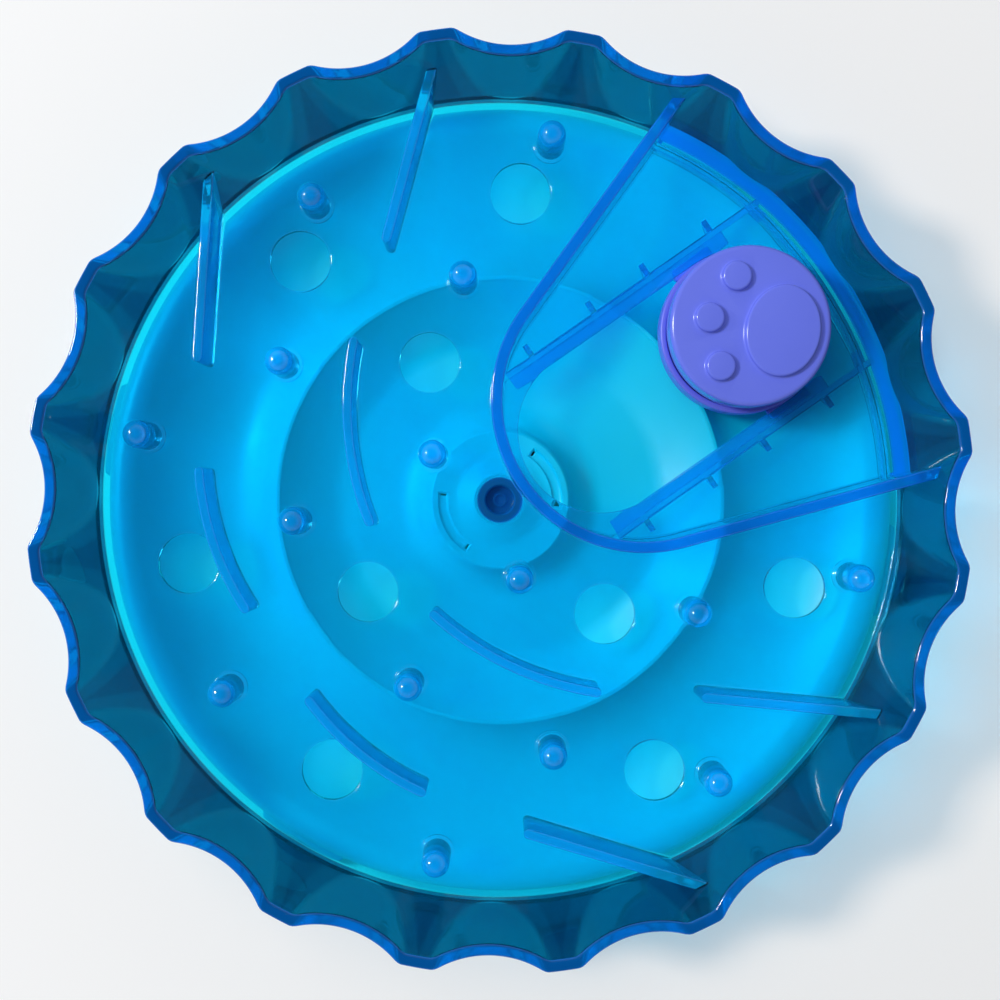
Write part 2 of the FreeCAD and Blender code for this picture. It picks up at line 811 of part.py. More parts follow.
# Sliding ring: it fills the slot, and its wings run between the rails and above the ledges
RING_UNDER = f"{LEDGE_TOP} - ring_drop"
FLANGE_TOP = f"{RING_UNDER} - slide_gap"
RING_OUTSIDE = "slot_half_width - ring_gap"
RING_INSIDE = "slot_half_width - ring_gap - ring_wall"
ring = revolved(
    "sliding_ring",
    [
        (RING_INSIDE, RING_UNDER),
        (RING_OUTSIDE, RING_UNDER),
        (RING_OUTSIDE, f"{DECK_TOP} + ring_rise"),
        (RING_INSIDE, f"{DECK_TOP} + ring_rise"),
    ],
)
for wing_side in (1, -1):
    wing = new_sketch(ring, "Wing", "XY_Plane", f"{LEDGE_TOP} + slide_gap")
    draw_rectangle(
        wing,
        ("-wing_half_length", f"{wing_side} * ({RING_OUTSIDE} - ring_wall / 2)"),
        ("wing_half_length", f"{wing_side} * (rail_offset - ring_gap)"),
    )
    pad(ring, wing, f"{DECK_UNDER} - slide_gap - ({LEDGE_TOP}) - slide_gap")
doc.recompute()
place(ring, "slot_outer")
nodes.append(ring)

# Paw button: a hollow cap on a barrel that turns in the sliding ring
BARREL = f"{RING_INSIDE} - ring_gap"
CAP_UNDER = "button_height - cap_thick"
paw_button = revolved(
    "paw_button",
    [
        (PILOT, FLANGE_TOP),
        ("stem_radius", FLANGE_TOP),
        ("stem_radius", "button_height - cap_skin"),
        (f"{BARREL} - barrel_wall", "button_height - cap_skin"),
        (f"{BARREL} - barrel_wall", FLANGE_TOP),
        (BARREL, FLANGE_TOP),
        (BARREL, CAP_UNDER),
        ("cap_radius", CAP_UNDER),
        ("cap_radius", "button_height"),
        ("0", "button_height"),
        ("0", f"{FLANGE_TOP} + pilot_depth"),
        (PILOT, f"{FLANGE_TOP} + pilot_depth"),
    ],
)
round_edges(paw_button, "cap_round", ring_edge("cap_radius", "button_height"))
toes = new_sketch(paw_button, "Toes", "XY_Plane", "button_height")
draw_circle(toes, "toe_side_ahead", "toe_side_out", "toe_radius")
draw_circle(toes, "toe_side_ahead", "-toe_side_out", "toe_radius")
draw_circle(toes, "toe_middle_ahead", "0", "toe_radius")
oval = toes.addGeometry(
    Part.Ellipse(
        FreeCAD.Vector(-size("pad_behind"), size("pad_half_width"), 0),
        FreeCAD.Vector(size("pad_half_length") - size("pad_behind"), 0, 0),
        FreeCAD.Vector(-size("pad_behind"), 0, 0),
    )
)
toes.exposeInternalGeometry(oval)
bind(toes, "DistanceX", oval, 3, "-pad_behind")
bind(toes, "DistanceY", oval, 3, "0")
toes.addConstraint(Sketcher.Constraint("Vertical", oval + 1))
bind_value(toes, "Distance", oval + 1, "2 * pad_half_width")
bind_value(toes, "Distance", oval + 2, "2 * pad_half_length")
pad(paw_button, toes, "toe_height")
round_edges(
    paw_button, "toe_round", lambda point: near(point.z, "button_height + toe_height")
)
place(paw_button, "slot_outer", "0", "paw_angle")
nodes.append(paw_button)

# Flange that is screwed to the button's stem below the sliding ring
FLANGE_UNDER = f"{FLANGE_TOP} - flange_thick"
SCREW_SEAT = f"{FLANGE_UNDER} + screw_head_thick + screw_gap"
flange = revolved(
    "button_flange",
    [
        (PILOT, SCREW_SEAT),
        ("screw_head_radius + 2 * screw_gap", SCREW_SEAT),
        ("screw_head_radius + 2 * screw_gap", FLANGE_UNDER),
        ("flange_radius", FLANGE_UNDER),
        ("flange_radius", FLANGE_TOP),
        (PILOT, FLANGE_TOP),
    ],
)
round_edges(flange, "edge_round", ring_edge("flange_radius", FLANGE_UNDER))
place(flange, "slot_outer", "0", "paw_angle")
nodes.append(flange)
button_screw = screw("button_screw", SCREW_SEAT, "flange_thick + screw_bite")
place(button_screw, "slot_outer", "0", "paw_angle")
nodes.append(button_screw)

# Dish: hub, inner floor, ridge, outer floor and rim, which meet edge to edge
hub = revolved(
    "dish_hub",
    [
        ("post_radius + running_gap", TUBE_UNDER),
        ("post_radius + running_gap + collar_wall", TUBE_UNDER),
        ("post_radius + running_gap + collar_wall", "hub_top - dish_plate"),
        ("hub_radius - hub_wall", "hub_top - dish_plate"),
        ("hub_radius - hub_wall", "dish_under"),
        ("hub_join", "dish_under"),
        ("hub_join", "dish_floor"),
        ("hub_radius", "dish_floor"),
        ("hub_radius", "hub_top"),
        ("post_radius + running_gap + collar_wall", "hub_top"),
        ("post_radius + running_gap + collar_wall", FLOOR_UNDER),
        ("post_radius + running_gap", FLOOR_UNDER),
    ],
)
round_edges(hub, "hub_flank", ring_edge("hub_radius", "dish_floor"))
round_edges(hub, "edge_round", ring_edge("hub_radius", "hub_top"))
arc_slot = new_sketch(hub, "ArcSlot", "XZ_Plane")
draw_rectangle(
    arc_slot,
    ("arc_slot_radius - arc_slot_width / 2", f"hub_top - dish_plate - {OVERSHOOT}"),
    ("arc_slot_radius + arc_slot_width / 2", f"hub_top + {OVERSHOOT}"),
)
hub_volume = hub.Shape.Volume
arc_cut = turn_profile(hub, arc_slot, "Groove", "arc_slot_sweep")
arc_cut.Midplane = True
doc.recompute()
arc_cuts = hub.newObject("PartDesign::PolarPattern", "ArcSlots")
arc_cuts.Originals = [arc_cut]
arc_cuts.Axis = (plane_of(hub, "Z_Axis"), [""])
arc_cuts.Angle = 360
arc_cuts.Occurrences = 2
hub.Tip = arc_cuts
doc.recompute()
if hub.Shape.Volume >= hub_volume:
    raise RuntimeError("dish_hub: the arc slots cut nothing")
place(hub, "0", "0", "dish_angle")
nodes.append(hub)


def plate_ring(label, inner, outer):
    return revolved(
        label,
        [(inner, "dish_under"), (outer, "dish_under"), (outer, "dish_floor"), (inner, "dish_floor")],
    )


RIDGE_INNER = "ridge_radius - ridge_reach"
RIDGE_OUTER = "ridge_radius + ridge_reach"
nodes.append(plate_ring("dish_inner_floor", "hub_join", RIDGE_INNER))

ridge = revolved(
    "dish_ridge",
    [
        (RIDGE_INNER, "dish_under"),
        (RIDGE_OUTER, "dish_under"),
        (RIDGE_OUTER, "dish_floor"),
        ("ridge_radius + ridge_wall / 2", "dish_floor"),
        ("ridge_radius + ridge_wall / 2", "ridge_top"),
        ("ridge_radius - ridge_wall / 2", "ridge_top"),
        ("ridge_radius - ridge_wall / 2", "dish_floor"),
        (RIDGE_INNER, "dish_floor"),
    ],
)
round_edges(ridge, "ridge_flank", ring_edge("ridge_radius + ridge_wall / 2", "dish_floor"))
round_edges(ridge, "ridge_flank", ring_edge("ridge_radius - ridge_wall / 2", "dish_floor"))
round_edges(ridge, f"ridge_wall * {EDGE_SHARE}", lambda point: near(point.z, "ridge_top"))
core = new_sketch(ridge, "Core", "XZ_Plane")
draw_outline(
    core,
    [
        ("ridge_radius - ridge_flank / 2", f"dish_under - {OVERSHOOT}"),
        ("ridge_radius + ridge_flank / 2", f"dish_under - {OVERSHOOT}"),
        ("ridge_radius + ridge_wall / 4", f"dish_floor + dish_plate"),
        ("ridge_radius - ridge_wall / 4", f"dish_floor + dish_plate"),
    ],
)
ridge_volume = ridge.Shape.Volume
turn_profile(ridge, core, "Groove")
doc.recompute()
if ridge.Shape.Volume >= ridge_volume:
    raise RuntimeError("dish_ridge: the core cuts nothing")
nodes.append(ridge)

# Outer floor, with a socket under it for each rubber foot
LUG_ANGLES = ["lug_angle", "-lug_angle", "180 + lug_angle", "180 - lug_angle"]
outer_floor = plate_ring("dish_outer_floor", RIDGE_OUTER, "rim_join")
sockets = new_sketch(outer_floor, "Sockets", "XY_Plane", "dish_under")
for lug_angle in LUG_ANGLES:
    draw_circle(
        sockets,
        f"pad_place * cos({lug_angle})",
        f"pad_place * sin({lug_angle})",
        "pad_radius + pad_gap",
    )
pocket(outer_floor, sockets, "pad_socket")
place(outer_floor, "0", "0", "dish_angle")
nodes.append(outer_floor)

rim = revolved(
    "dish_rim",
    [
        ("rim_join", "dish_under"),
        ("dish_radius", "dish_under"),
        ("dish_radius", "dish_top"),
        ("dish_radius - dish_wall", "dish_top"),
        ("dish_radius - dish_wall", "dish_floor"),
        ("rim_join", "dish_floor"),
    ],
)
round_edges(rim, "dish_corner", ring_edge("dish_radius - dish_wall", "dish_floor"))
round_edges(rim, f"dish_wall * {EDGE_SHARE}", lambda point: near(point.z, "dish_top"))
round_edges(rim, "edge_round", ring_edge("dish_radius", "dish_under"))
nodes.append(rim)


# Lugs on the dish's rim: a low dome in plan, with a slit at its root
def lug(number, angle):
    body = new_body(f"dish_lug_{number}")
    sketch = new_sketch(body, "Dome", "XY_Plane", "lug_base")
    root_x = "dish_radius * cos(lug_half_sweep)"
    root_y = "dish_radius * sin(lug_half_sweep)"
    depth = f"(dish_radius + lug_reach - {root_x})"
    dome = f"(dish_radius + lug_reach - ({depth} ^ 2 + ({root_y}) ^ 2) / (2 * {depth}))"
    draw_outline(
        sketch,
        [(root_x, f"-{root_y}"), (root_x, root_y)],
        {0: (dome, True), 1: ("0", False)},
    )
    pad(body, sketch, "lug_thick")
    doc.recompute()
    slit = new_sketch(body, "Slit", "XY_Plane", "lug_base")
    draw_rectangle(
        slit,
        ("dish_radius + slit_offset", "-slit_length / 2"),
        ("dish_radius + slit_offset + slit_width", "slit_length / 2"),
    )
    pocket(body, slit, "lug_thick")
    place(body, "0", "0", f"dish_angle + {angle}")
    return body


def rubber_foot(number, angle):
    body = revolved(
        f"rubber_foot_{number}",
        [
            ("0", "0"),
            ("pad_radius", "0"),
            ("pad_radius", "dish_under + pad_socket"),
            ("0", "dish_under + pad_socket"),
        ],
    )
    round_edges(body, "edge_round", ring_edge("pad_radius", "0"))
    place_polar(body, "pad_place", f"(dish_angle + {angle})")
    return body


for lug_number, lug_angle in enumerate(LUG_ANGLES, start=1):
    nodes.append(lug(lug_number, lug_angle))
    nodes.append(rubber_foot(lug_number, lug_angle))

doc.recompute()

for item in doc.Objects:
    if "Invalid" in item.State or "Error" in item.State:
        raise RuntimeError(f"{item.Label} failed: {item.State}")
for node in nodes:
    if node.Shape.isNull() or not node.Shape.isValid() or node.Shape.Volume <= 0:
        raise RuntimeError(f"{node.Label} has no valid shape")

os.makedirs("parts", exist_ok=True)
for node in nodes:
    node.Shape.exportStep(os.path.join("parts", node.Label + ".step"))
    print(node.Label, len(node.Shape.Solids), round(node.Shape.Volume, 1))
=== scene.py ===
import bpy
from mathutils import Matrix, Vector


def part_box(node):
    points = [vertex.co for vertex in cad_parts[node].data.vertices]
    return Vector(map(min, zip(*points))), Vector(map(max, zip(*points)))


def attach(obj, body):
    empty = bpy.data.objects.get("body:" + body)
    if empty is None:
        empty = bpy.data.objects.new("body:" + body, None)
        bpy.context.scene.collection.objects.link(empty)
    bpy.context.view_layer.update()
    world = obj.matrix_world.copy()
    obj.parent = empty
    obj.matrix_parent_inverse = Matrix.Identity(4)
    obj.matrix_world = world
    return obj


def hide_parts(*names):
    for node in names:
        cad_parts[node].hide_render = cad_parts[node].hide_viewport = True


bl_info = {
    "name": "Cat Puzzle Feeder",
    "version": (1, 0, 0),
    "blender": (4, 5, 0),
    "location": "View3D > Sidebar > Puzzle Feeder",
    "description": "Dresses a cat puzzle feeder: a clear tray on a dish, with a sliding paw button",
    "category": "Add Mesh",
}

import math
from types import SimpleNamespace

import bmesh
import bpy
import numpy as np
from bpy.props import FloatProperty, IntProperty, PointerProperty, StringProperty
from mathutils import Matrix, Vector

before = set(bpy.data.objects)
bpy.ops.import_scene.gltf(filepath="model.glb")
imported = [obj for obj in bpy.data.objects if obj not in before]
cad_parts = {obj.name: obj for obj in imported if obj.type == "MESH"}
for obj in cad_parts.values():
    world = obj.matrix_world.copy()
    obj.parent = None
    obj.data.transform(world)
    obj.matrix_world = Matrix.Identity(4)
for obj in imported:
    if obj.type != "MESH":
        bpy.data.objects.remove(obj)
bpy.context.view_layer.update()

# Shapes are worked out in millimetres and degrees, and written to meshes in metres.
MM = 0.001

# The tray's places: (distance from the turning axis, angle from the slot)
HOLE_RADIUS = 9.5
HOLES = [(97.3, 51.4), (98.5, 95.1), (100.5, 156.7), (48.9, 82.3), (50.9, 180)]
STRAIGHT_FINS = [(85.5, 79.2, 40.2), (101.0, 120.7, 51.5)]
CURVED_FINS = [(57.5, -4.9, 96.5, 132.9, 34.7), (4.9, 14.6, 87.4, 148.3, 31.0)]
GUSSETS = [33.9, 57.7, 78.1, 101.9]
SLOT_INNER, SLOT_OUTER, SLOT_HALF = 38.2, 91.6, 25.8
WEDGE_CENTRE, WEDGE_RADIUS, WEDGE_ANGLE = 52.7, 44.3, 19.5
FLOOR_TOP, FLOOR_UNDER, DECK_TOP, DECK_UNDER = 18.0, 15.5, 24.0, 21.5
WALL_FOOT, WALL_LEAN, WALL_HEIGHT, WALL_THICK = 125.5, 0.3929, 28.0, 3.5
FLUTE_COUNT, FLUTE_AXIS, FLUTE_RADIUS, FLUTE_LEAN = 20, 165.0, 34.3, 0.1706
DISH_RADIUS, FOOT_PLACE, DISH_TURN = 126.0, 98.45, -10.2
LUG_TURNS = [35.0, -35.0, 215.0, 145.0]
CAP_TOP = 39.2


# ---------------------------------------------------------------- sizes and colours


class FeederTraySizes(bpy.types.PropertyGroup):
    """The clear tray: its rounding and the look of its plastic."""

    colour: StringProperty(
        name="Dye", description="Colour that thick plastic lets through, in sRGB", default="#00F0FC"
    )
    depth: FloatProperty(
        name="Dye depth", description="How strongly a metre of the plastic tints", default=60.0
    )
    clear: StringProperty(
        name="Floor tint", description="Tint of the floor's surfaces, in sRGB", default="#18EAFF"
    )
    raised: StringProperty(
        name="Fin tint", description="Tint of what stands on the floor, in sRGB", default="#08BAFF"
    )
    # Flute tint and Crest tint are painted shade: they make the leaning wall dark, the crests
    # darker than the hollow flutes.
    flute: StringProperty(
        name="Flute tint", description="Tint of the wall's hollow flutes", default="#086A8C"
    )
    crest: StringProperty(
        name="Crest tint", description="Tint of the wall between the flutes", default="#06466C"
    )
    # Edge glow and High edge glow are a painted glow: upward edges, rails and the deck's end are
    # given a deep blue and less clearness (Edge clearness), as if they gathered light.
    edge: StringProperty(
        name="Edge glow", description="Colour of the low upward edges, in sRGB", default="#00A0FA"
    )
    high_painted_glow: StringProperty(
        name="High edge glow", description="Colour of the rim and wedge's edge", default="#0080EA"
    )
    # Post tint is painted shade: a darker blue put on the pivot post for the shade in its deep
    # bore.
    thick: StringProperty(
        name="Post tint", description="Tint of the thick pivot post, in sRGB", default="#1082DA"
    )
    shadow: StringProperty(
        name="Shadow tint", description="Light left by one surface, in sRGB", default="#D8E6F0"
    )
    fin_shadow: StringProperty(
        name="Fin shadow tint", description="The same for fins, pegs and wedge", default="#F8FBFF"
    )
    wall_shadow: StringProperty(
        name="Wall shadow tint", description="The same for the leaning wall", default="#C4D4E0"
    )
    clearness: FloatProperty(
        name="Clearness", description="Share of light let through", default=0.94, subtype="FACTOR"
    )
    edge_clearness: FloatProperty(
        name="Edge clearness", description="The same at upward edges", default=0.6, subtype="FACTOR"
    )
    polish: FloatProperty(
        name="Roughness",
        description="Roughness of the moulded gloss",
        default=0.05,
        min=0.0,
        max=1.0,
        subtype="FACTOR",
    )
    rim_round: FloatProperty(
        name="Rim rounding", description="Radius of the rim's edges", default=0.0008, unit="LENGTH"
    )
    crease: FloatProperty(
        name="Crest softness",
        description="How far the crests between the flutes are softened",
        default=0.001,
        unit="LENGTH",
    )
    steps: IntProperty(
        name="Steps per flute", description="Mesh steps round one flute", default=48, min=8
    )


class FeederDishSizes(bpy.types.PropertyGroup):
    """The dish and its rubber feet."""

    colour: StringProperty(name="Plastic", description="Dish colour, in sRGB", default="#00BEDA")
    rubber: StringProperty(name="Rubber", description="Foot colour, in sRGB", default="#1B1B1E")
    ridge_round: FloatProperty(
        name="Ridge rounding",
        description="Radius of the ridge's outer side",
        default=0.022,
        unit="LENGTH",
    )


class FeederButtonSizes(bpy.types.PropertyGroup):
    """The paw button, its flange and the ring that it turns in."""

    colour: StringProperty(name="Cap", description="Button colour, in sRGB", default="#6978E8")
    ring: StringProperty(name="Ring", description="Colour of the ring, in sRGB", default="#646CDA")
    under: StringProperty(
        name="Flange", description="Colour of the flange, in sRGB", default="#646CDC"
    )
    paw_round: FloatProperty(
        name="Paw rounding", description="Radius at the paw's foot", default=0.0008, unit="LENGTH"
    )
    paw_rise: FloatProperty(
        name="Paw rise", description="Height of the toes and pad", default=0.0018, unit="LENGTH"
    )


class FeederStageSizes(bpy.types.PropertyGroup):
    """The floor, the light and the camera."""

    floor: StringProperty(name="Floor", description="Floor colour, in sRGB", default="#FCFDFE")
    camera_height: FloatProperty(
        name="Camera height", description="Camera above the ground", default=0.418, unit="LENGTH"
    )
    camera_turn: FloatProperty(
        name="Camera turn",
        description="Turn of the camera about the vertical",
        default=math.radians(-34.8),
        unit="ROTATION",
    )


def in_mm(group):
    """A property group's values, with its lengths in millimetres."""
    values = {}
    for prop in group.bl_rna.properties:
        if prop.is_readonly or prop.identifier == "name":
            continue
        value = getattr(group, prop.identifier)
        values[prop.identifier] = value / MM if prop.unit == "LENGTH" else value
    return SimpleNamespace(**values)


# ---------------------------------------------------------------- shapes


def ring_of(radius, height, count):
    """A level ring of points. radius is a number or one per point."""
    turns = np.arange(count) * 2 * math.pi / count
    return np.column_stack(
        [radius * np.cos(turns), radius * np.sin(turns), np.full(count, float(height))]
    )


def skin(name, rings, closed=False):
    """A closed surface through rings of points, which all have the same number of points. A ring
    of one point is a tip. The last ring joins the first if closed, and otherwise both ends are
    capped."""
    starts, points = [], []
    for ring in rings:
        starts.append(len(points))
        points.extend(np.atleast_2d(ring))
    count = max(len(np.atleast_2d(ring)) for ring in rings)
    sizes = [len(np.atleast_2d(ring)) for ring in rings]
    faces = []
    pairs = list(zip(range(len(rings)), range(1, len(rings))))
    if closed:
        pairs.append((len(rings) - 1, 0))
    for low, high in pairs:
        for step in range(count):
            after = (step + 1) % count
            a, b = starts[low], starts[high]
            if sizes[low] == 1:
                faces.append((a, b + after, b + step))
            elif sizes[high] == 1:
                faces.append((a + step, a + after, b))
            else:
                faces.append((a + step, a + after, b + after, b + step))
    if not closed:
        for end in (0, len(rings) - 1):
            if sizes[end] > 1:
                faces.append(tuple(range(starts[end], starts[end] + count)))
    mesh = bpy.data.meshes.new(name)
    mesh.from_pydata((np.array(points) * MM).tolist(), [], faces)
    form = bmesh.new()
    form.from_mesh(mesh)
    bmesh.ops.triangulate(form, faces=[face for face in form.faces if len(face.verts) > 4])
    bmesh.ops.recalc_face_normals(form, faces=form.faces)
    form.to_mesh(mesh)
    form.free()
    made = bpy.data.objects.new(name, mesh)
    bpy.context.collection.objects.link(made)
    return made


def soften(corners, steps=6):
    """A closed outline with its corners rounded. Each corner is (x, y) or (x, y, radius)."""
    outline = []
    for number, corner in enumerate(corners):
        here = Vector(corner[:2])
        radius = corner[2] if len(corner) > 2 else 0
        if not radius:
            outline.append(tuple(here))
            continue
        back = (Vector(corners[number - 1][:2]) - here).normalized()
        ahead = (Vector(corners[(number + 1) % len(corners)][:2]) - here).normalized()
        half = back.angle(ahead) / 2
        centre = here + (back + ahead).normalized() * radius / math.sin(half)
        start = here + back * radius / math.tan(half) - centre
        end = here + ahead * radius / math.tan(half) - centre
        for step in range(steps + 1):
            # slerp gives a direction of length one.
            outline.append(tuple(centre + start.slerp(end, step / steps) * radius))
    return outline


def lathe(name, profile, count=128, centre=(0, 0)):
    """A profile of (radius, height) points turned about an upright line. Points at radius 0 are
    the ends of the profile."""
    rings = []
    for radius, height in profile:
        if radius == 0:
            rings.append(np.array([[0, 0, height]]))
        else:
            rings.append(ring_of(radius, height, count))
    rings = [ring + np.array([centre[0], centre[1], 0]) for ring in rings]
    return skin(name, rings, closed=profile[0][0] > 0)


def grown(outline, amount):
    """A closed anticlockwise outline moved outwards by an amount."""
    points = np.array(outline, float)
    ahead = np.roll(points, -1, axis=0) - points
    ahead /= np.linalg.norm(ahead, axis=1)[:, None]
    back = np.roll(ahead, 1, axis=0)
    side = np.column_stack([ahead[:, 1], -ahead[:, 0]]) + np.column_stack([back[:, 1], -back[:, 0]])
    length = np.linalg.norm(side, axis=1)
    return points + side / (length * length / 2)[:, None] * amount


def prism(name, outline, levels):
    """An anticlockwise outline raised through levels of (height, how far it is grown)."""
    rings = []
    for height, amount in levels:
        flat = grown(outline, amount)
        rings.append(np.column_stack([flat, np.full(len(flat), float(height))]))
    return skin(name, rings)


def rounded_top(top, radius, steps=5):
    """Levels that round an upright side over into a level top."""
    turns = [step / steps * math.pi / 2 for step in range(steps + 1)]
    return [(top - radius + radius * math.sin(t), radius * (math.cos(t) - 1)) for t in turns]


def flared_foot(base, radius, steps=5):
    """Levels that lead out of a level base into an upright side."""
    turns = [step / steps * math.pi / 2 for step in range(steps + 1)]
    return [(base + radius * (1 - math.cos(t)), radius * (1 - math.sin(t))) for t in turns]


def arc(radius, start, end, steps, centre=(0, 0)):
    """Points along an arc, with its angles in degrees."""
    turns = [math.radians(start + (end - start) * step / steps) for step in range(steps + 1)]
    return [(centre[0] + radius * math.cos(t), centre[1] + radius * math.sin(t)) for t in turns]


def circle(radius, count, centre=(0, 0)):
    """Points round a circle."""
    return arc(radius, 0, 360 - 360 / count, count - 1, centre)


def polar(radius, angle):
    """A place by its distance and its angle in degrees."""
    return radius * math.cos(math.radians(angle)), radius * math.sin(math.radians(angle))


def moved(piece, x=0, y=0, turn=0):
    """The piece's mesh turned about the upright axis by degrees, and then moved."""
    shift = Matrix.Translation((x * MM, y * MM, 0))
    piece.data.transform(shift @ Matrix.Rotation(math.radians(turn), 4, "Z"))
    return piece


def mirrored(piece):
    """A copy of the piece on the other side of the slot's middle line."""
    copy = piece.copy()
    copy.data = piece.data.copy()
    bpy.context.collection.objects.link(copy)
    copy.data.transform(Matrix.Scale(-1, 4, (0, 1, 0)))
    copy.data.flip_normals()
    return copy


def carve(base, *cuts):
    """The base after each cut of (operation, tool), in order. The tools are used up."""
    for operation, tool in cuts:
        step = base.modifiers.new(operation, "BOOLEAN")
        step.operation = operation
        step.solver = "MANIFOLD"
        step.object = tool
    bpy.context.view_layer.update()
    result = bpy.data.meshes.new_from_object(
        base.evaluated_get(bpy.context.evaluated_depsgraph_get())
    )
    base.modifiers.clear()
    base.data = result
    for _, tool in cuts:
        bpy.data.objects.remove(tool)
    if not len(result.polygons):
        raise RuntimeError(base.name + ": nothing is left of the piece")
    return base


def united(base, tools):
    """The base joined with each tool, in order."""
    return carve(base, *[("UNION", tool) for tool in tools])


def finished(piece, body, nodes, surface, sharp=32):
    """The piece shaded smooth, with its material, body and CAD nodes."""
    piece.data.shade_smooth()
    piece.data.set_sharp_from_angle(angle=math.radians(sharp))
    piece.data.materials.clear()
    piece.data.materials.append(surface)
    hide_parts(*nodes)
    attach(piece, body)
    return piece


# ---------------------------------------------------------------- materials


def linear(colour):
    """A hex sRGB colour as linear red, green, blue and alpha."""
    parts = [int(colour[start : start + 2], 16) / 255 for start in (1, 3, 5)]
    return tuple(
        part / 12.92 if part <= 0.04045 else ((part + 0.055) / 1.055) ** 2.4 for part in parts
    ) + (1.0,)


def add(tree, kind, values=None, links=None, **settings):
    """A new node with its settings, its input values and what feeds its inputs: a socket, or a
    node that gives its first output."""
    made = tree.nodes.new("ShaderNode" + kind)
    for key, value in settings.items():
        setattr(made, key, value)
    for key, value in (values or {}).items():
        made.inputs[key].default_value = value
    for key, source in (links or {}).items():
        tree.links.new(getattr(source, "outputs", [source])[0], made.inputs[key])
    return made


def new_material(name):
    """An empty node material, its tree and its coordinates in metres."""
    surface = bpy.data.materials.new(name)
    surface.use_nodes = True
    tree = surface.node_tree
    tree.nodes.clear()
    return surface, tree, add(tree, "TexCoord").outputs["Object"]


def per_mm(size):
    """The scale of a texture whose features are this many millimetres apart."""
    return 1 / (size * MM)


# Where the tray's material changes. A mask runs from 0 at the first place to 1 at the second, or
# between the values that "To" gives. The crests and hollows are measured from a flute's axis, and
# the cone and the post from the turning axis.
CREST = {"From Min": 42.3 * MM, "From Max": 43.0 * MM}
HOLLOW = {"From Min": 42.7 * MM, "From Max": 42.5 * MM}
CONE = {"From Min": 117.9 * MM, "From Max": 118.1 * MM}
POST = {"From Min": 6.9 * MM, "From Max": 7.5 * MM, "To Min": 1.0, "To Max": 0.0}
OVER_FLOOR = {"From Min": 18.0 * MM, "From Max": 18.4 * MM}
ALOFT = {"From Min": 19.0 * MM, "From Max": 20.5 * MM}
BELOW_DECK = {"From Min": 21.5 * MM, "From Max": 21.3 * MM, "To Max": 0.7}
HIGH = {"From Min": 36.0 * MM, "From Max": 37.0 * MM}
LEVEL_FACE = {"From Min": 0.42, "From Max": 0.6}
STEEP_FACE = {"From Min": 0.3, "From Max": 0.6, "To Min": 1.0, "To Max": 0.0}
# Bands of (middle, half width), and single places
RAIL_BAND = {1: 28.65 * MM, 2: 3.15 * MM}
DECK_END_BAND = {1: 125.8 * MM, 2: 2.8 * MM}
DECK_END_TURN = {1: 0.56}
RAIL_START, DECK_TOP_SKIN, OVER_DECK = {1: 24 * MM}, {1: 24.2 * MM}, {1: 24.3 * MM}


def wall_masks(tree, parts, level, radius, turn):
    """Nodes for how far a place is in the wall, and in the crests between its flutes. The wall
    is what lies outside the leaning cone, or inside a flute, above the floor."""
    half = {1: math.pi / FLUTE_COUNT}
    off_valley = add(tree, "Math", half, {0: turn}, operation="PINGPONG")
    shown = add(tree, "Math", links={0: off_valley, 1: turn}, operation="SUBTRACT")
    # Each flute is hollowed about an axis outside the wall, and it widens towards its foot.
    spin = add(tree, "VectorRotate", links={0: level, "Angle": shown}, rotation_type="Z_AXIS")
    axis = {1: (FLUTE_AXIS * MM, 0, 0)}
    from_axis = add(tree, "VectorMath", axis, {0: spin}, operation="DISTANCE")
    flute = add(
        tree,
        "Math",
        {1: FLUTE_LEAN},
        {0: parts.outputs[2], 2: from_axis.outputs["Value"]},
        operation="MULTIPLY_ADD",
    )
    crest = add(tree, "MapRange", CREST, {"Value": flute})
    in_flute = add(tree, "MapRange", HOLLOW, {"Value": flute})
    lean = add(
        tree, "Math", {1: -WALL_LEAN}, {0: parts.outputs[2], 2: radius}, operation="MULTIPLY_ADD"
    )
    past_cone = add(tree, "MapRange", CONE, {"Value": lean})
    walled = add(tree, "Math", links={0: past_cone, 1: in_flute}, operation="MAXIMUM")
    over_floor = add(tree, "MapRange", OVER_FLOOR, {"Value": parts.outputs[2]})
    in_wall = add(tree, "Math", links={0: walled, 1: over_floor}, operation="MULTIPLY")
    return in_wall, crest


def painted_glow_masks(tree, parts, radius, turn, upright):
    """Nodes for where the glow is painted, and for what is high: the upward edges of the rim and
    wedge, the rails with their ledges, and the deck's end."""
    high = add(tree, "MapRange", HIGH, {"Value": parts.outputs[2]})
    level_face = add(tree, "MapRange", LEVEL_FACE, {"Value": upright})
    upward = add(tree, "Math", links={0: high, 1: level_face}, operation="MULTIPLY")
    beside = add(tree, "Math", links={0: parts.outputs[1]}, operation="ABSOLUTE")
    in_rail = add(tree, "Math", RAIL_BAND, {0: beside}, operation="COMPARE")
    along = add(tree, "Math", RAIL_START, {0: parts}, operation="GREATER_THAN")
    below = add(tree, "MapRange", BELOW_DECK, {"Value": parts.outputs[2]})
    outer = add(tree, "Math", DECK_END_BAND, {0: radius}, operation="COMPARE")
    swing = add(tree, "Math", links={0: turn}, operation="ABSOLUTE")
    inside = add(tree, "Math", DECK_END_TURN, {0: swing}, operation="LESS_THAN")
    under = add(tree, "Math", DECK_TOP_SKIN, {0: parts.outputs[2]}, operation="LESS_THAN")
    edge = upward
    for first, second, third in ((in_rail, along, below), (outer, inside, under)):
        both = add(tree, "Math", links={0: first, 1: second}, operation="MULTIPLY")
        part = add(tree, "Math", links={0: both, 1: third}, operation="MULTIPLY")
        edge = add(tree, "Math", links={0: edge, 1: part}, operation="MAXIMUM")
    return edge, high


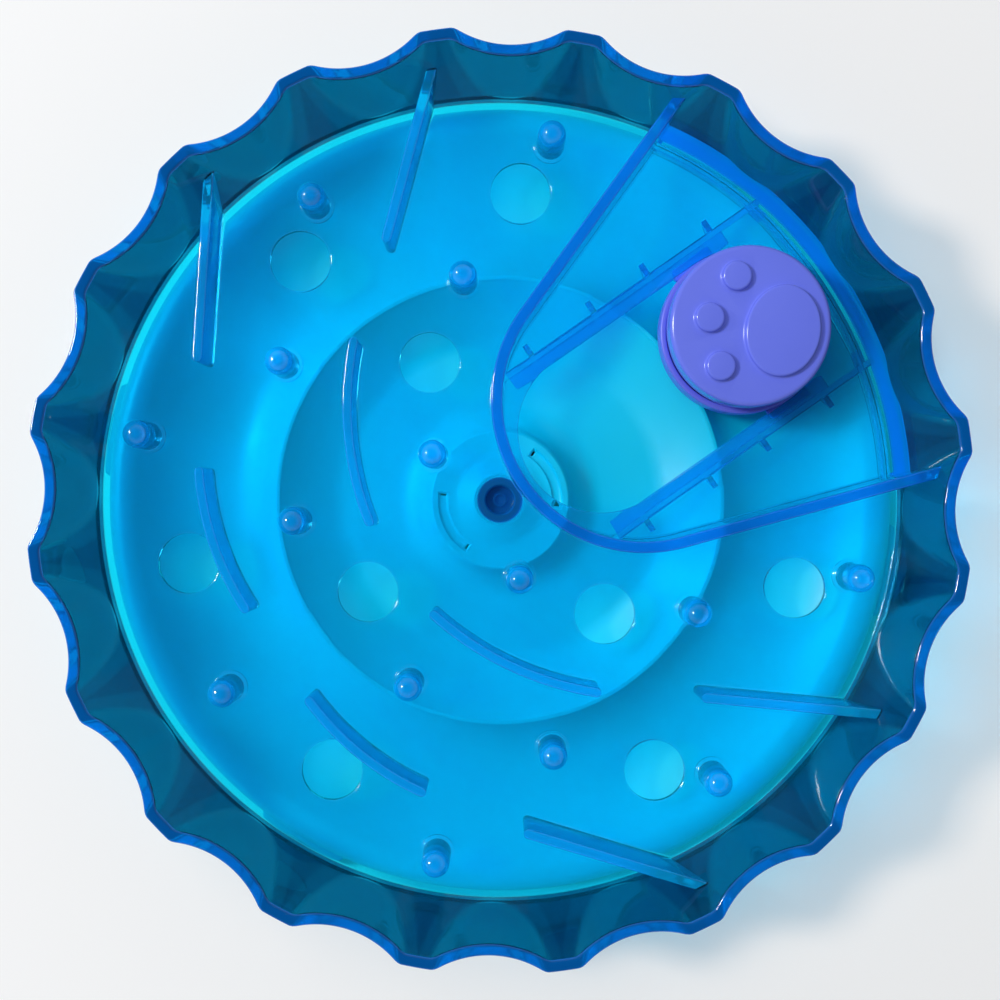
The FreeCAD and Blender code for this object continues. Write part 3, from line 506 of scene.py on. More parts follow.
def raised_mask(tree, parts, upright, in_wall):
    """A node for what stands on the floor: its steep faces, and all above the deck."""
    aloft = add(tree, "MapRange", ALOFT, {"Value": parts.outputs[2]})
    above = add(tree, "Math", OVER_DECK, {0: parts.outputs[2]}, operation="GREATER_THAN")
    tilt = add(tree, "Math", links={0: upright}, operation="ABSOLUTE")
    steep = add(tree, "MapRange", STEEP_FACE, {"Value": tilt})
    either = add(tree, "Math", links={0: steep, 1: above}, operation="MAXIMUM")
    risen = add(tree, "Math", links={0: aloft, 1: either}, operation="MULTIPLY")
    off_wall = add(tree, "Math", {0: 1.0}, {1: in_wall}, operation="SUBTRACT")
    raised = add(tree, "Math", links={0: risen, 1: off_wall}, operation="MULTIPLY")
    return raised


def moulded_polystyrene(sizes):
    """Clear polystyrene, injection moulded in a polished tool: glass-like gloss with a very slow
    waviness where the melt shrank, faint rubbing marks, and a blue that deepens with thickness.
    The rim, the rails and the deck's end have a painted glow, and what stands on the floor is
    tinted bluer than the floor. The leaning wall is painted dark as painted shade, its hollow
    flutes a little paler than the crests between them, and the pivot post is painted a darker
    blue as painted shade."""
    surface, tree, place = new_material("Moulded clear polystyrene")
    parts = add(tree, "SeparateXYZ", links={0: place})
    level = add(tree, "CombineXYZ", links={0: parts, 1: parts.outputs[1]})
    length = add(tree, "VectorMath", links={0: level}, operation="LENGTH")
    radius = length.outputs["Value"]
    turn = add(tree, "Math", links={0: parts.outputs[1], 1: parts}, operation="ARCTAN2")
    facing = add(tree, "SeparateXYZ", links={0: add(tree, "NewGeometry").outputs["Normal"]})
    upright = facing.outputs[2]

    in_wall, crest = wall_masks(tree, parts, level, radius, turn)
    edge, high = painted_glow_masks(tree, parts, radius, turn, upright)
    raised = raised_mask(tree, parts, upright, in_wall)
    in_post = add(tree, "MapRange", POST, {"Value": radius})

    clear, bluer, flute, ridge = map(linear, (sizes.clear, sizes.raised, sizes.flute, sizes.crest))
    post, low_painted_glow, high_painted_glow = map(linear, (sizes.thick, sizes.edge, sizes.high_painted_glow))
    colours = {"data_type": "RGBA"}
    standing = add(tree, "Mix", {6: clear, 7: bluer}, {0: raised}, **colours)
    # The leaning wall's painted shade, darker on the crests than in the flutes.
    wall = add(tree, "Mix", {6: flute, 7: ridge}, {0: crest}, **colours)
    tint_and_painted_wall_shade = add(
        tree, "Mix", None, {0: in_wall, 6: standing.outputs[2], 7: wall.outputs[2]}, **colours
    )
    # The post is painted a darker blue, as painted shade for its deep bore.
    body = add(tree, "Mix", {7: post}, {0: in_post, 6: tint_and_painted_wall_shade.outputs[2]}, **colours)
    # The painted glow: a deep blue put on the upward edges, rails and deck's end in place of the
    # tint.
    painted_glow_colour = add(tree, "Mix", {6: low_painted_glow, 7: high_painted_glow}, {0: high}, **colours)
    glow = add(tree, "Mix", None, {0: edge, 6: body.outputs[2], 7: painted_glow_colour.outputs[2]}, **colours)

    # Where the glow and the shade are painted, and on what stands on the floor, the plastic is a
    # little milky, so that the painted colours show.
    cloudy = add(tree, "Math", {1: 0.75}, {0: raised}, operation="MULTIPLY")
    sunk = add(tree, "Math", links={0: cloudy, 1: in_post}, operation="MAXIMUM")
    dense = add(tree, "Math", links={0: edge, 1: sunk}, operation="MAXIMUM")
    through_share = add(
        tree,
        "MapRange",
        {"To Min": sizes.clearness, "To Max": sizes.edge_clearness},
        {"Value": dense},
    )
    sink = add(
        tree, "TexNoise", {"Scale": per_mm(14), "Detail": 2.0, "Roughness": 0.4}, {"Vector": place}
    )
    wave = add(tree, "Bump", {"Strength": 0.25, "Distance": 0.4 * MM}, {"Height": sink})
    rub = add(
        tree, "TexNoise", {"Scale": per_mm(0.9), "Detail": 4.0, "Roughness": 0.7}, {"Vector": place}
    )
    low, high_gloss = sizes.polish * 0.5, sizes.polish * 1.6
    gloss = add(
        tree,
        "MapRange",
        {"From Min": 0.35, "From Max": 0.75, "To Min": low, "To Max": high_gloss},
        {"Value": rub},
    )
    plastic = add(
        tree,
        "BsdfPrincipled",
        {"IOR": 1.59},
        {
            "Base Color": glow.outputs[2],
            "Transmission Weight": through_share,
            "Roughness": gloss,
            "Normal": wave,
        },
    )
    # The light that comes through is tinted straight on, without a caustic.
    floor_cast, fin_cast, wall_cast = map(
        linear, (sizes.shadow, sizes.fin_shadow, sizes.wall_shadow)
    )
    thin = add(tree, "Mix", {6: floor_cast, 7: fin_cast}, {0: raised}, **colours)
    cast = add(tree, "Mix", {7: wall_cast}, {0: in_wall, 6: thin.outputs[2]}, **colours)
    shadow = add(tree, "BsdfTransparent", links={"Color": cast.outputs[2]})
    ray = add(tree, "LightPath")
    mix = add(tree, "MixShader", links={0: ray.outputs["Is Shadow Ray"], 1: plastic, 2: shadow})
    tint = add(tree, "VolumeAbsorption", {"Color": linear(sizes.colour), "Density": sizes.depth})
    add(tree, "OutputMaterial", links={"Surface": mix, "Volume": tint})
    return surface


def moulded_abs(name, colour, gloss):
    """ABS, injection moulded: an even colour with a fine orange peel, slightly uneven gloss and
    a soft glow under the surface."""
    surface, tree, place = new_material(name)
    cloud = add(
        tree, "TexNoise", {"Scale": per_mm(30), "Detail": 3.0, "Roughness": 0.5}, {"Vector": place}
    )
    dark = linear(colour)
    pale = [min(1.0, part * 1.12) for part in dark]
    shade = add(tree, "Mix", {6: dark, 7: pale}, {0: cloud}, data_type="RGBA")
    peel = add(
        tree, "TexNoise", {"Scale": per_mm(1.6), "Detail": 2.0, "Roughness": 0.5}, {"Vector": place}
    )
    skin_bump = add(tree, "Bump", {"Strength": 0.12, "Distance": 0.08 * MM}, {"Height": peel})
    rough = add(
        tree,
        "MapRange",
        {"From Min": 0.3, "From Max": 0.7, "To Min": gloss * 0.85, "To Max": gloss * 1.2},
        {"Value": cloud},
    )
    plastic = add(
        tree,
        "BsdfPrincipled",
        {
            "IOR": 1.53,
            "Subsurface Weight": 0.08,
            "Subsurface Radius": (1.0 * MM, 1.2 * MM, 1.5 * MM),
        },
        {
            "Base Color": shade.outputs[2],
            "Roughness": rough,
            "Normal": skin_bump,
        },
    )
    add(tree, "OutputMaterial", links={"Surface": plastic})
    return surface


def moulded_rubber(colour):
    """Natural rubber, pressed in an etched tool: nearly black, dull and finely grained."""
    surface, tree, place = new_material("Moulded rubber")
    grain = add(
        tree, "TexNoise", {"Scale": per_mm(0.5), "Detail": 4.0, "Roughness": 0.6}, {"Vector": place}
    )
    bump = add(tree, "Bump", {"Strength": 0.4, "Distance": 0.1 * MM}, {"Height": grain})
    rough = add(tree, "MapRange", {"To Min": 0.62, "To Max": 0.88}, {"Value": grain})
    rubber = add(
        tree,
        "BsdfPrincipled",
        {"Base Color": linear(colour), "IOR": 1.52},
        {"Roughness": rough, "Normal": bump},
    )
    add(tree, "OutputMaterial", links={"Surface": rubber})
    return surface


def zinc_plated_steel():
    """Steel with bright zinc plating, turned and stamped: grey metal with fine turning marks."""
    surface, tree, place = new_material("Zinc plated steel")
    turning = {"Scale": per_mm(0.35), "Detail": 3.0, "Roughness": 0.6}
    marks = add(tree, "TexNoise", turning, {"Vector": place})
    rough = add(tree, "MapRange", {"To Min": 0.22, "To Max": 0.42}, {"Value": marks})
    bump = add(tree, "Bump", {"Strength": 0.2, "Distance": 0.04 * MM}, {"Height": marks})
    steel = add(
        tree,
        "BsdfPrincipled",
        {"Base Color": linear("#C3C6C9"), "Metallic": 1.0},
        {"Roughness": rough, "Normal": bump},
    )
    add(tree, "OutputMaterial", links={"Surface": steel})
    return surface


# ---------------------------------------------------------------- the clear tray


def soft_min(first, second, reach):
    """The lesser of two radii, rounded off where they are within reach of each other."""
    near = np.clip((reach - np.abs(first - second)) / reach, 0, None)
    return np.minimum(first, second) - near * near * reach / 4


def bowl_radius(turns, rise, wall, crease):
    """The bowl's radius at each angle. rise is above the tray floor, and wall is how far the
    surface stands outside the bowl's inside."""
    half = math.pi / FLUTE_COUNT
    off_valley = (turns + half) % (2 * half) - half
    cone = WALL_FOOT + wall + WALL_LEAN * rise
    flute = FLUTE_RADIUS - wall + FLUTE_LEAN * (WALL_HEIGHT - rise)
    across = FLUTE_AXIS * np.sin(off_valley)
    hollow = FLUTE_AXIS * np.cos(off_valley) - np.sqrt(flute**2 - across**2)
    soft = crease * (0.2 + 0.8 * np.clip(rise / WALL_HEIGHT, 0, 1))
    return soft_min(np.full_like(hollow, cone), hollow, soft)


def bowl(sizes):
    """The fluted wall and the floor, as one closed form."""
    count = FLUTE_COUNT * sizes.steps
    turns = np.arange(count) * 2 * math.pi / count
    edge = sizes.rim_round
    foot = 0.6
    curve = [step / 6 * math.pi / 2 for step in range(7)]

    def wall_ring(rise, wall, inset=0.0):
        """A ring round the wall. rise and wall are as in bowl_radius."""
        radius = bowl_radius(turns, rise, wall, sizes.crease) + inset
        return ring_of(radius, FLOOR_TOP + rise, count)

    upper = np.linspace(8.2, WALL_HEIGHT - edge - 1, 13)
    rises = np.concatenate([np.linspace(0.4, 7.0, 14), upper])
    rings = [np.array([[0, 0, FLOOR_UNDER]])]
    rings += [ring_of(radius, FLOOR_UNDER, count) for radius in (12, 60, 110, 127)]
    for t in curve:
        reach = WALL_FOOT + WALL_THICK - foot * (1 - math.sin(t))
        rings.append(ring_of(reach, FLOOR_UNDER + foot * (1 - math.cos(t)), count))
    rings += [wall_ring(rise, WALL_THICK) for rise in rises]
    for t in curve:
        rise, inset = WALL_HEIGHT - edge * (1 - math.sin(t)), -edge * (1 - math.cos(t))
        rings.append(wall_ring(rise, WALL_THICK, inset))
    for t in curve:
        rings.append(wall_ring(WALL_HEIGHT - edge * (1 - math.cos(t)), 0, edge * (1 - math.sin(t))))
    rings += [wall_ring(rise, 0) for rise in reversed(rises[rises > 0.7])]
    for t in curve:
        reach = WALL_FOOT - foot * (1 - math.cos(t))
        rings.append(ring_of(reach, FLOOR_TOP + foot * (1 - math.sin(t)), count))
    rings += [ring_of(radius, FLOOR_TOP, count) for radius in (110, 60, 12)]
    rings.append(np.array([[0, 0, FLOOR_TOP]]))
    return skin("clear_tray", rings)


def wall_middle(sizes):
    """A solid whose side runs in the middle of the bowl's wall. Walls that meet the bowl end in
    it."""
    count = FLUTE_COUNT * sizes.steps
    turns = np.arange(count) * 2 * math.pi / count
    rings = [
        ring_of(bowl_radius(turns, rise, WALL_THICK / 2, sizes.crease), FLOOR_TOP + rise, count)
        for rise in np.linspace(-6, 27, 12)
    ]
    return skin("wall_middle", rings)


def arm_point(offset, radius):
    """Where the wedge's upper arm, moved outwards by an offset, reaches a radius."""
    turn = math.radians(WEDGE_ANGLE)
    reach = WEDGE_RADIUS + offset
    start = Vector((WEDGE_CENTRE - reach * math.sin(turn), reach * math.cos(turn)))
    along = Vector((math.cos(turn), math.sin(turn)))
    half = start.dot(along)
    return start + along * (math.sqrt(half * half - start.dot(start) + radius * radius) - half)


def wedge_side(offset, radius, steps=40):
    """The wedge's U from its lower arm at a radius round the arc to its upper arm, clockwise."""
    tip = arm_point(offset, radius)
    turn = 90 + WEDGE_ANGLE
    bend = arc(WEDGE_RADIUS + offset, -turn, -360 + turn, steps, (WEDGE_CENTRE, 0))
    return [(tip.x, -tip.y)] + bend + [(tip.x, tip.y)]


def wedge_filled(offset, radius, steps=40):
    """The area inside the wedge's U, closed by an arc about the turning axis, anticlockwise."""
    tip = arm_point(offset, radius)
    angle = math.degrees(math.atan2(tip.y, tip.x))
    outer = arc(radius, -angle, angle, steps)[1:-1]
    return wedge_side(offset, radius, steps)[::-1] + outer


def thin_wall(name, path, half, top):
    """A wall that stands on the tray floor along a path, with a flared foot, a softened top and
    round ends. half is half its thickness."""
    levels = [(17.0, 0.75)] + flared_foot(FLOOR_TOP, 0.7) + rounded_top(top, 0.7)
    side = [(half + amount, height) for height, amount in levels]
    section = np.array(side + [(-reach, height) for reach, height in reversed(side)])
    line = np.array(path, float)
    ahead = np.gradient(line, axis=0)
    ahead /= np.linalg.norm(ahead, axis=1)[:, None]
    round_off = [math.radians(turn) for turn in (84, 70, 52, 35, 18)]
    stations = [(line[0] - ahead[0] * half * math.sin(t), ahead[0], math.cos(t)) for t in round_off]
    stations += [(place, way, 1.0) for place, way in zip(line, ahead)]
    stations += [
        (line[-1] + ahead[-1] * half * math.sin(t), ahead[-1], math.cos(t))
        for t in reversed(round_off)
    ]
    rings = []
    for place, way, share in stations:
        level = place + np.outer(section[:, 0] * share, (way[1], -way[0]))
        rings.append(np.column_stack([level, section[:, 1]]))
    return skin(name, rings)


def tray_walls():
    """The wedge wall and the fins."""
    wedge = thin_wall("wedge", wedge_side(0, 150), 1.75, 39.0)
    walls = []
    for radius, angle, heading in STRAIGHT_FINS:
        fin = thin_wall("straight_fin", [(1.6, 0), (45, 0), (90, 0)], 1.6, 35.0)
        walls.append(moved(fin, *polar(radius, angle), heading))
        walls.append(mirrored(walls[-1]))
    for x, y, radius, start, sweep in CURVED_FINS:
        blunt = math.degrees(1.5 / radius)
        path = arc(radius, start + blunt, start + sweep - blunt, 40, (x, y))
        walls.append(thin_wall("curved_fin", path, 1.5, 34.0))
        walls.append(mirrored(walls[-1]))
    return wedge, walls


def tray_pegs():
    """The fifteen pegs, each with a low foot and a domed top, at the places of the CAD's."""
    section = [(0, 17.0), (5.5, 17.0), (5.5, 18.8, 0.5), (4.4, 18.8, 0.6), (4.3, 35.0, 4.2)]
    profile = soften(section + [(0, 35.0)], 10)
    pegs = []
    for number in range(1, 16):
        low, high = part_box(f"peg_{number:02d}")
        middle = (low + high) / 2 / MM
        pegs.append(lathe("peg", profile, 48, (middle.x, middle.y)))
    return pegs


def slider_bed():
    """The deck with its slot, the skirt, and the two rails with their ledges and gussets."""
    deck = prism("deck", wedge_filled(-0.9, 128.4), [(DECK_UNDER, 0), (DECK_TOP, 0)])
    slot = arc(SLOT_HALF, 90, 270, 40, (SLOT_INNER, 0))
    slot += arc(SLOT_HALF, -90, 90, 40, (SLOT_OUTER, 0))
    levels = [(DECK_UNDER - 1, 0.4), (DECK_UNDER, 0.4), (DECK_UNDER + 0.4, 0), (DECK_TOP - 0.5, 0)]
    levels += [(DECK_TOP - 0.15, 0.15), (DECK_TOP, 0.5), (DECK_TOP + 1, 0.5)]
    carve(deck, ("DIFFERENCE", prism("slot", slot, levels)))
    tip = arm_point(0, 121)
    angle = math.degrees(math.atan2(tip.y, tip.x))
    band = arc(122, -angle, angle, 60) + arc(120, angle, -angle, 60)
    levels = [(FLOOR_UNDER, -0.3), (FLOOR_UNDER + 0.3, 0), (DECK_UNDER + 0.6, 0)]
    beds = [prism("skirt", band, levels)]
    for side in (1, -1):
        low, high = sorted((side * 29.6, side * 31.6))
        rib = [(20.9, low), (121.0, low), (121.0, high), (20.9, high)]
        beds.append(prism("rib", rib, [(16.3, -0.2), (16.5, 0), (DECK_UNDER + 0.6, 0)]))
        low, high = sorted((side * 25.8, side * 30.6))
        ledge = [(24.2, low), (105.6, low), (105.6, high), (24.2, high)]
        beds.append(prism("ledge", ledge, [(16.35, -0.2), (16.6, 0), (18.1, 0), (18.3, -0.2)]))
        for x in GUSSETS:
            section = [(31.0, 16.4), (31.7, 16.4), (35.6, DECK_UNDER + 0.3)]
            section.append((31.0, DECK_UNDER + 0.3))
            rings = [[(edge, side * y, z) for y, z in section] for edge in (x - 0.9, x + 0.9)]
            beds.append(skin("gusset", rings))
    return deck, beds


def hole_cutter(radius, angle):
    """A cutter for a treat hole, with a rounded upper edge and a broken lower one."""
    levels = [(FLOOR_UNDER - 1, 0.4), (FLOOR_UNDER, 0.4), (FLOOR_UNDER + 0.4, 0)]
    levels += [(FLOOR_TOP - 0.5, 0), (FLOOR_TOP - 0.25, 0.08), (FLOOR_TOP - 0.08, 0.25)]
    levels += [(FLOOR_TOP, 0.5), (FLOOR_TOP + 1, 0.5)]
    return prism("hole", circle(HOLE_RADIUS, 128, polar(radius, angle)), levels)


def pivot_post():
    """The post under the floor, hollow from above, with a ring in the bottom of its bore."""
    post = lathe("post", soften([(0, 5.5), (7.0, 5.5, 0.4), (7.0, 16.4), (0, 16.4)]), 64)
    section = [(0, 9.8), (1.5, 9.8), (1.5, 10.9, 0.2), (2.3, 10.9, 0.2), (2.3, 9.8)]
    section += [(4.4, 9.8, 0.4), (4.4, 17.4, 0.5), (5.0, 18.05), (5.0, 19.0), (0, 19.0)]
    return post, lathe("bore", soften(section, 4), 64)


class FEEDER_OT_tray(bpy.types.Operator):
    """Make the clear fluted tray with its holes, wedge, fins, pegs, deck, rails and pivot post"""

    bl_idname = "feeder.tray"
    bl_label = "Clear tray"

    def execute(self, context):
        sizes = in_mm(context.scene.feeder_tray)
        tray = bowl(sizes)
        floor_cut = prism(
            "floor_cut", wedge_filled(-0.9, 125.5), [(FLOOR_UNDER - 1, 0), (FLOOR_TOP + 3, 0)]
        )
        cuts = [("DIFFERENCE", floor_cut)]
        for radius, angle in HOLES:
            for side in (1, -1) if angle < 180 else (1,):
                cuts.append(("DIFFERENCE", hole_cutter(radius, side * angle)))
        carve(tray, *cuts)
        wedge, walls = tray_walls()
        united(wedge, walls)
        carve(wedge, ("INTERSECT", wall_middle(sizes)))
        deck, beds = slider_bed()
        united(deck, beds)
        post, bore = pivot_post()
        united(tray, [wedge, deck, post])
        carve(tray, ("DIFFERENCE", bore))
        united(tray, tray_pegs())
        own = ("tray_", "wedge_", "slider_", "deck_", "peg_", "straight_", "curved_", "pivot_post")
        nodes = [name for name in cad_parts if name.startswith(own)]
        finished(tray, "tray", nodes, moulded_polystyrene(sizes))
        return {"FINISHED"}


# ---------------------------------------------------------------- the dish and its feet


def trough_side(foot, top_radius, top, low, radius, steps=10):
    """Points up a trough's curved side, from its foot to where it reaches the top."""
    span = math.acos(1 - (top - low) / radius)
    side = math.copysign(1, top_radius - foot)
    start = top_radius - side * radius * math.sin(span)
    turns = [span * step / steps for step in range(steps + 1)]
    return [(start + side * radius * math.sin(t), low + radius * (1 - math.cos(t))) for t in turns]


def dish_profile(round_side):
    """The dish's section, from its collar round the underside to the rim, and back over the
    troughs and the ridge to the hub."""
    low, top, under_side, rim_top = 4.5, 13.5, 2.0, 14.0
    collar = [(7.06, 15.5, 0.3), (7.06, 5.56), (9.56, 5.56), (9.56, 11.0), (19.7, 11.0, 0.5)]
    under = [(19.7, under_side, 0.5), (66.9, under_side), (70.4, 7.0, 0.3), (71.4, 7.0, 0.3)]
    under += [(74.9, under_side)]
    rim = [(DISH_RADIUS, under_side, 0.8), (DISH_RADIUS, rim_top, 5.5), (117.8, rim_top, 8.0)]
    outer = trough_side(90.0, 112.0, 10.5, low, 42.0)[::-1]
    ridge_out = trough_side(85.0, 71.9, top - 0.7, low, round_side)
    ridge_in = [(69.9, top - 0.7), (52.0, low, 14.0)]
    crown = [(71.5, top - 0.15), (70.9, top), (70.3, top - 0.15)]
    hub = trough_side(34.0, 22.4, top - 0.7, low, 12.0)
    hub += [(21.7, top, 0.6), (14.5, top, 10.0), (8.2, 15.5, 1.0)]
    return soften(collar + under + rim + outer + ridge_out + crown + ridge_in + hub, 8)


def arc_slot(turn):
    """Cutters for one of the hub's arc slots: a groove with a hole through each of its ends."""
    outline = arc(19.5, -31.5, 31.5, 24) + arc(16.9, 31.5, -31.5, 24)
    groove = prism(
        "arc_slot", outline, [(12.7, -0.5), (12.85, -0.1), (13.1, 0.1), (13.5, 0.4), (14.5, 0.4)]
    )
    cutters = [groove]
    for end in (-1, 1):
        sides = [(17.3, end * 31.0), (19.1, end * 31.0), (19.1, end * 29.0), (17.3, end * 29.0)]
        corners = [polar(radius, angle) for radius, angle in sides[::end]]
        cutters.append(prism("end_hole", corners, [(9.0, 0), (12.9, 0)]))
    return [moved(cutter, turn=turn) for cutter in cutters]


def dish_lug(turn):
    """A low dome in plan on the dish's rim, with a slit at its root."""
    half, reach = math.radians(7.05), 135.0
    root_x, root_y = DISH_RADIUS * math.cos(half), DISH_RADIUS * math.sin(half)
    depth = reach - root_x
    radius = (depth**2 + root_y**2) / (2 * depth)
    spread = math.degrees(math.atan2(root_y, root_x - (reach - radius)))
    dome = arc(radius, -spread, spread, 30, (reach - radius, 0))
    outline = dome + [(root_x - 1.5, root_y), (root_x - 1.5, -root_y)]
    levels = [(6.0, -0.5), (6.15, -0.15), (6.5, 0), (8.3, 0), (8.8, -0.2), (9.0, -0.7)]
    lug = prism("lug", outline, levels)
    slit = prism(
        "slit",
        soften([(127.6, -4.8, 0.6), (129.2, -4.8, 0.6), (129.2, 4.8, 0.6), (127.6, 4.8, 0.6)], 3),
        [(5.0, 0), (10.0, 0)],
    )
    carve(lug, ("DIFFERENCE", slit))
    return moved(lug, turn=turn)


class FEEDER_OT_dish(bpy.types.Operator):
    """Make the dish with its hub, troughs, ridge, rim and lugs"""

    bl_idname = "feeder.dish"
    bl_label = "Dish"

    def execute(self, context):
        sizes = in_mm(context.scene.feeder_dish)
        dish = lathe("dish", dish_profile(sizes.ridge_round), 360)
        cuts = []
        for turn in (0, 180):
            cuts += [("DIFFERENCE", cutter) for cutter in arc_slot(DISH_TURN + turn)]
        for turn in LUG_TURNS:
            place = polar(FOOT_PLACE, DISH_TURN + turn)
            profile = [(0, 1.0), (8.0, 1.0), (8.0, 3.0), (0, 3.0)]
            cuts.append(("DIFFERENCE", lathe("socket", profile, 64, place)))
            cuts.append(("UNION", dish_lug(DISH_TURN + turn)))
        carve(dish, *cuts)
        surface = moulded_abs("Moulded turquoise ABS", sizes.colour, 0.36)
        nodes = [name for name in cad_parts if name.startswith("dish_")]
        finished(dish, "dish", nodes, surface)
        return {"FINISHED"}


class FEEDER_OT_feet(bpy.types.Operator):
    """Make the four rubber feet"""

    bl_idname = "feeder.feet"
    bl_label = "Rubber feet"

    def execute(self, context):
        sizes = in_mm(context.scene.feeder_dish)
        surface = moulded_rubber(sizes.rubber)
        section = [(0, 0.4), (5.0, 0.4, 0.3), (5.6, 0.0, 0.2), (7.8, 0.0, 0.8), (7.8, 3.0, 0.1)]
        profile = soften(section + [(0, 3.0)], 5)
        for number, turn in enumerate(LUG_TURNS, start=1):
            foot = lathe(f"foot_pad_{number}", profile, 64, polar(FOOT_PLACE, DISH_TURN + turn))
            finished(foot, "dish", [f"rubber_foot_{number}"], surface)
        return {"FINISHED"}


# ---------------------------------------------------------------- the ring and the button


class FEEDER_OT_ring(bpy.types.Operator):
    """Make the sliding ring with its two wings"""

    bl_idname = "feeder.ring"
    bl_label = "Sliding ring"

    def execute(self, context):
        sizes = in_mm(context.scene.feeder_button)
        profile = soften(
            [(23.5, 17.7, 0.3), (25.5, 17.7, 0.3), (25.5, 25.0, 0.7), (23.5, 25.0, 0.7)], 4
        )
        ring = lathe("slider", profile, 160)
        wings = []
        for side in (1, -1):
            low, high = sorted((side * 24.5, side * 28.3))
            outline = soften([(-7, low, 0.8), (7, low, 0.8), (7, high, 0.8), (-7, high, 0.8)], 4)
            wings.append(prism("wing", outline, [(18.5, -0.2), (18.7, 0), (21.1, 0), (21.3, -0.2)]))
        united(ring, wings)
        moved(ring, SLOT_OUTER)
        surface = moulded_abs("Moulded violet ABS, ring", sizes.ring, 0.3)
        finished(ring, "ring", ["sliding_ring"], surface)
        return {"FINISHED"}


def paw_part(outline, rise, foot):
    """A toe or the pad, with a hollow curve at its foot and a rounded top."""
    levels = [(CAP_TOP - 0.6, foot)] + flared_foot(CAP_TOP, foot, 6)
    levels += [level for level in rounded_top(CAP_TOP + rise, 0.8, 6) if level[0] >= CAP_TOP]
    return prism("paw_part", outline, levels)


class FEEDER_OT_button(bpy.types.Operator):
    """Make the paw button and the flange below it"""

    bl_idname = "feeder.button"
    bl_label = "Paw button"

    def execute(self, context):
        sizes = in_mm(context.scene.feeder_button)
        surface = moulded_abs("Moulded violet ABS", sizes.colour, 0.17)
        profile = [(0, 24.6), (1.6, 24.6), (1.6, 17.5), (5.0, 17.5), (5.0, 36.7), (21.0, 36.7)]
        profile += [(21.0, 17.5), (23.2, 17.5, 0.3), (23.2, 30.5), (24.3, 30.5, 0.4)]
        profile += [(24.3, CAP_TOP, 1.6), (0, CAP_TOP)]
        cap = lathe("paw_cap", soften(profile, 8), 200)
        toes = [(6.9, 13.7), (6.9, -13.7), (12.7, 0)]
        outlines = [circle(4.4, 48, toe) for toe in toes]
        outlines.append([(-9.5 + 11.2 * x, 13.8 * y) for x, y in circle(1, 72)])
        united(cap, [paw_part(outline, sizes.paw_rise, sizes.paw_round) for outline in outlines])
        moved(cap, SLOT_OUTER, turn=135)
        finished(cap, "button", ["paw_button"], surface)
        profile = [(1.6, 16.5), (4.2, 16.5), (4.2, 14.9, 0.2), (25.2, 14.9, 0.8)]
        profile += [(25.2, 17.5, 0.6), (1.6, 17.5)]
        flange = lathe("flange", soften(profile, 5), 160, (SLOT_OUTER, 0))
        under = moulded_abs("Moulded violet ABS, flange", sizes.under, 0.3)
        finished(flange, "button", ["button_flange"], under)
        return {"FINISHED"}


class FEEDER_OT_fasteners(bpy.types.Operator):
    """Give the washer and the two screws their plated steel"""

    bl_idname = "feeder.fasteners"
    bl_label = "Fasteners"

    def execute(self, context):
        steel = zinc_plated_steel()
        for name in ("pivot_washer", "pivot_screw", "button_screw"):
            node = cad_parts[name]
            node.data.materials.clear()
            node.data.materials.append(steel)
        return {"FINISHED"}


# ---------------------------------------------------------------- the stage


def polar_place(distance, angle, rise):
    """A place at a distance from the feeder, at an angle from the slot and above the ground."""
    level = distance * math.cos(math.radians(rise))
    return (*polar(level, angle), distance * math.sin(math.radians(rise)))


def soft_lamp(name, place, size, power):
    """A square, white soft box that looks at the feeder."""
    lamp = bpy.data.objects.new(name, bpy.data.lights.new(name, "AREA"))
    lamp.data.shape = "RECTANGLE"
    lamp.data.size = lamp.data.size_y = size
    lamp.data.energy = power
    lamp.location = place
    ahead = Vector((0, 0, 0.02)) - Vector(place)
    lamp.rotation_euler = ahead.to_track_quat("-Z", "Y").to_euler()
    lamp.visible_transmission = False
    bpy.context.collection.objects.link(lamp)
    return lamp


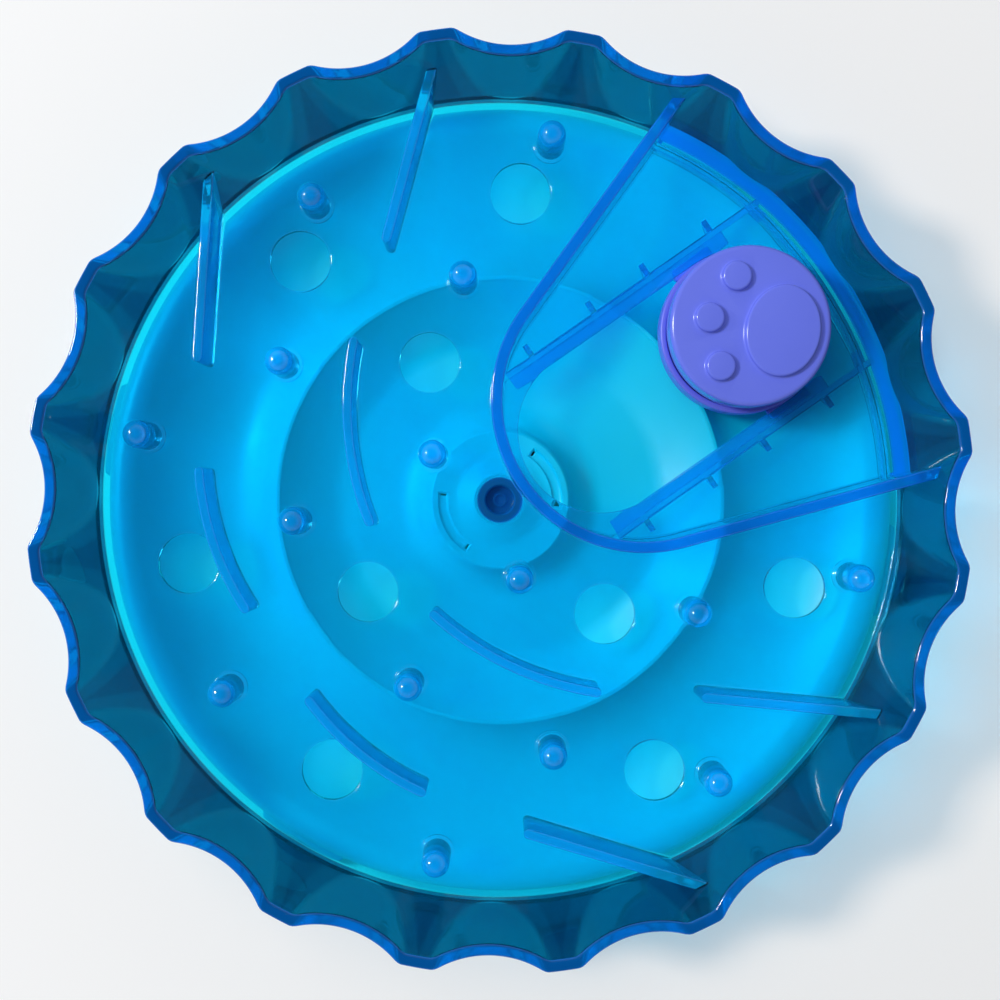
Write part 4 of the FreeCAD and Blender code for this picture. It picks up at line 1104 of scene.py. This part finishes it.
class FEEDER_OT_stage(bpy.types.Operator):
    """Make the floor, the soft light and the camera above the feeder"""

    bl_idname = "feeder.stage"
    bl_label = "Stage"

    def execute(self, context):
        settings = context.scene.feeder_stage
        mesh = bpy.data.meshes.new("floor")
        half = 3.0
        corners = [(-half, -half, 0), (half, -half, 0), (half, half, 0), (-half, half, 0)]
        mesh.from_pydata(corners, [], [(0, 1, 2, 3)])
        floor = bpy.data.objects.new("floor", mesh)
        context.collection.objects.link(floor)
        surface, tree, _ = new_material("Matt painted board")
        paint = add(tree, "BsdfDiffuse", {"Color": linear(settings.floor)})
        add(tree, "OutputMaterial", links={"Surface": paint})
        mesh.materials.append(surface)

        world = bpy.data.worlds.new("Studio")
        context.scene.world = world
        world.use_nodes = True
        tree = world.node_tree
        tree.nodes.clear()
        way = add(tree, "SeparateXYZ", links={0: add(tree, "TexCoord").outputs["Generated"]})
        light = add(
            tree,
            "MapRange",
            {"From Min": 0.4, "From Max": 0.9, "To Min": 0.4, "To Max": 0.02},
            {"Value": way.outputs[2]},
        )
        sky = add(tree, "Background", {"Color": (1, 1, 1, 1)}, {"Strength": light})
        add(tree, "OutputWorld", links={"Surface": sky})
        world.cycles.sampling_method = "NONE"

        soft_lamp("key", polar_place(3.2, 132, 43), 0.5, 56.0)
        fill = soft_lamp("fill", polar_place(3.2, 100, 68), 2.6, 45.0)
        fill.visible_glossy = False

        camera = bpy.data.objects.new("camera", bpy.data.cameras.new("camera"))
        camera.data.lens = 45.58
        camera.data.sensor_width = 36
        camera.data.clip_start = 0.01
        camera.location = (0, 0, settings.camera_height)
        camera.rotation_euler = (0, 0, settings.camera_turn)
        context.collection.objects.link(camera)
        context.scene.camera = camera
        context.scene.view_settings.view_transform = "Standard"
        return {"FINISHED"}


# ---------------------------------------------------------------- the add-on

OPERATORS = (
    FEEDER_OT_stage,
    FEEDER_OT_dish,
    FEEDER_OT_feet,
    FEEDER_OT_tray,
    FEEDER_OT_ring,
    FEEDER_OT_button,
    FEEDER_OT_fasteners,
)
GROUPS = {
    "feeder_tray": FeederTraySizes,
    "feeder_dish": FeederDishSizes,
    "feeder_button": FeederButtonSizes,
    "feeder_stage": FeederStageSizes,
}


class FEEDER_PT_parts(bpy.types.Panel):
    """Lists the feeder's pieces with their sizes and colours"""

    bl_label = "Cat Puzzle Feeder"
    bl_idname = "FEEDER_PT_parts"
    bl_space_type = "VIEW_3D"
    bl_region_type = "UI"
    bl_category = "Puzzle Feeder"

    def draw(self, context):
        for operator in OPERATORS:
            self.layout.operator(operator.bl_idname)
        for name, group in GROUPS.items():
            box = self.layout.box()
            for key in group.__annotations__:
                box.prop(getattr(context.scene, name), key)


def register():
    for cls in (*GROUPS.values(), *OPERATORS, FEEDER_PT_parts):
        bpy.utils.register_class(cls)
    for name, group in GROUPS.items():
        setattr(bpy.types.Scene, name, PointerProperty(type=group))


def unregister():
    for name in GROUPS:
        delattr(bpy.types.Scene, name)
    for cls in reversed((*GROUPS.values(), *OPERATORS, FEEDER_PT_parts)):
        bpy.utils.unregister_class(cls)


def main():
    """Make every piece."""
    register()
    for operator in OPERATORS:
        getattr(bpy.ops.feeder, operator.bl_idname.split(".")[1])()


if __name__ == "__main__":
    main()
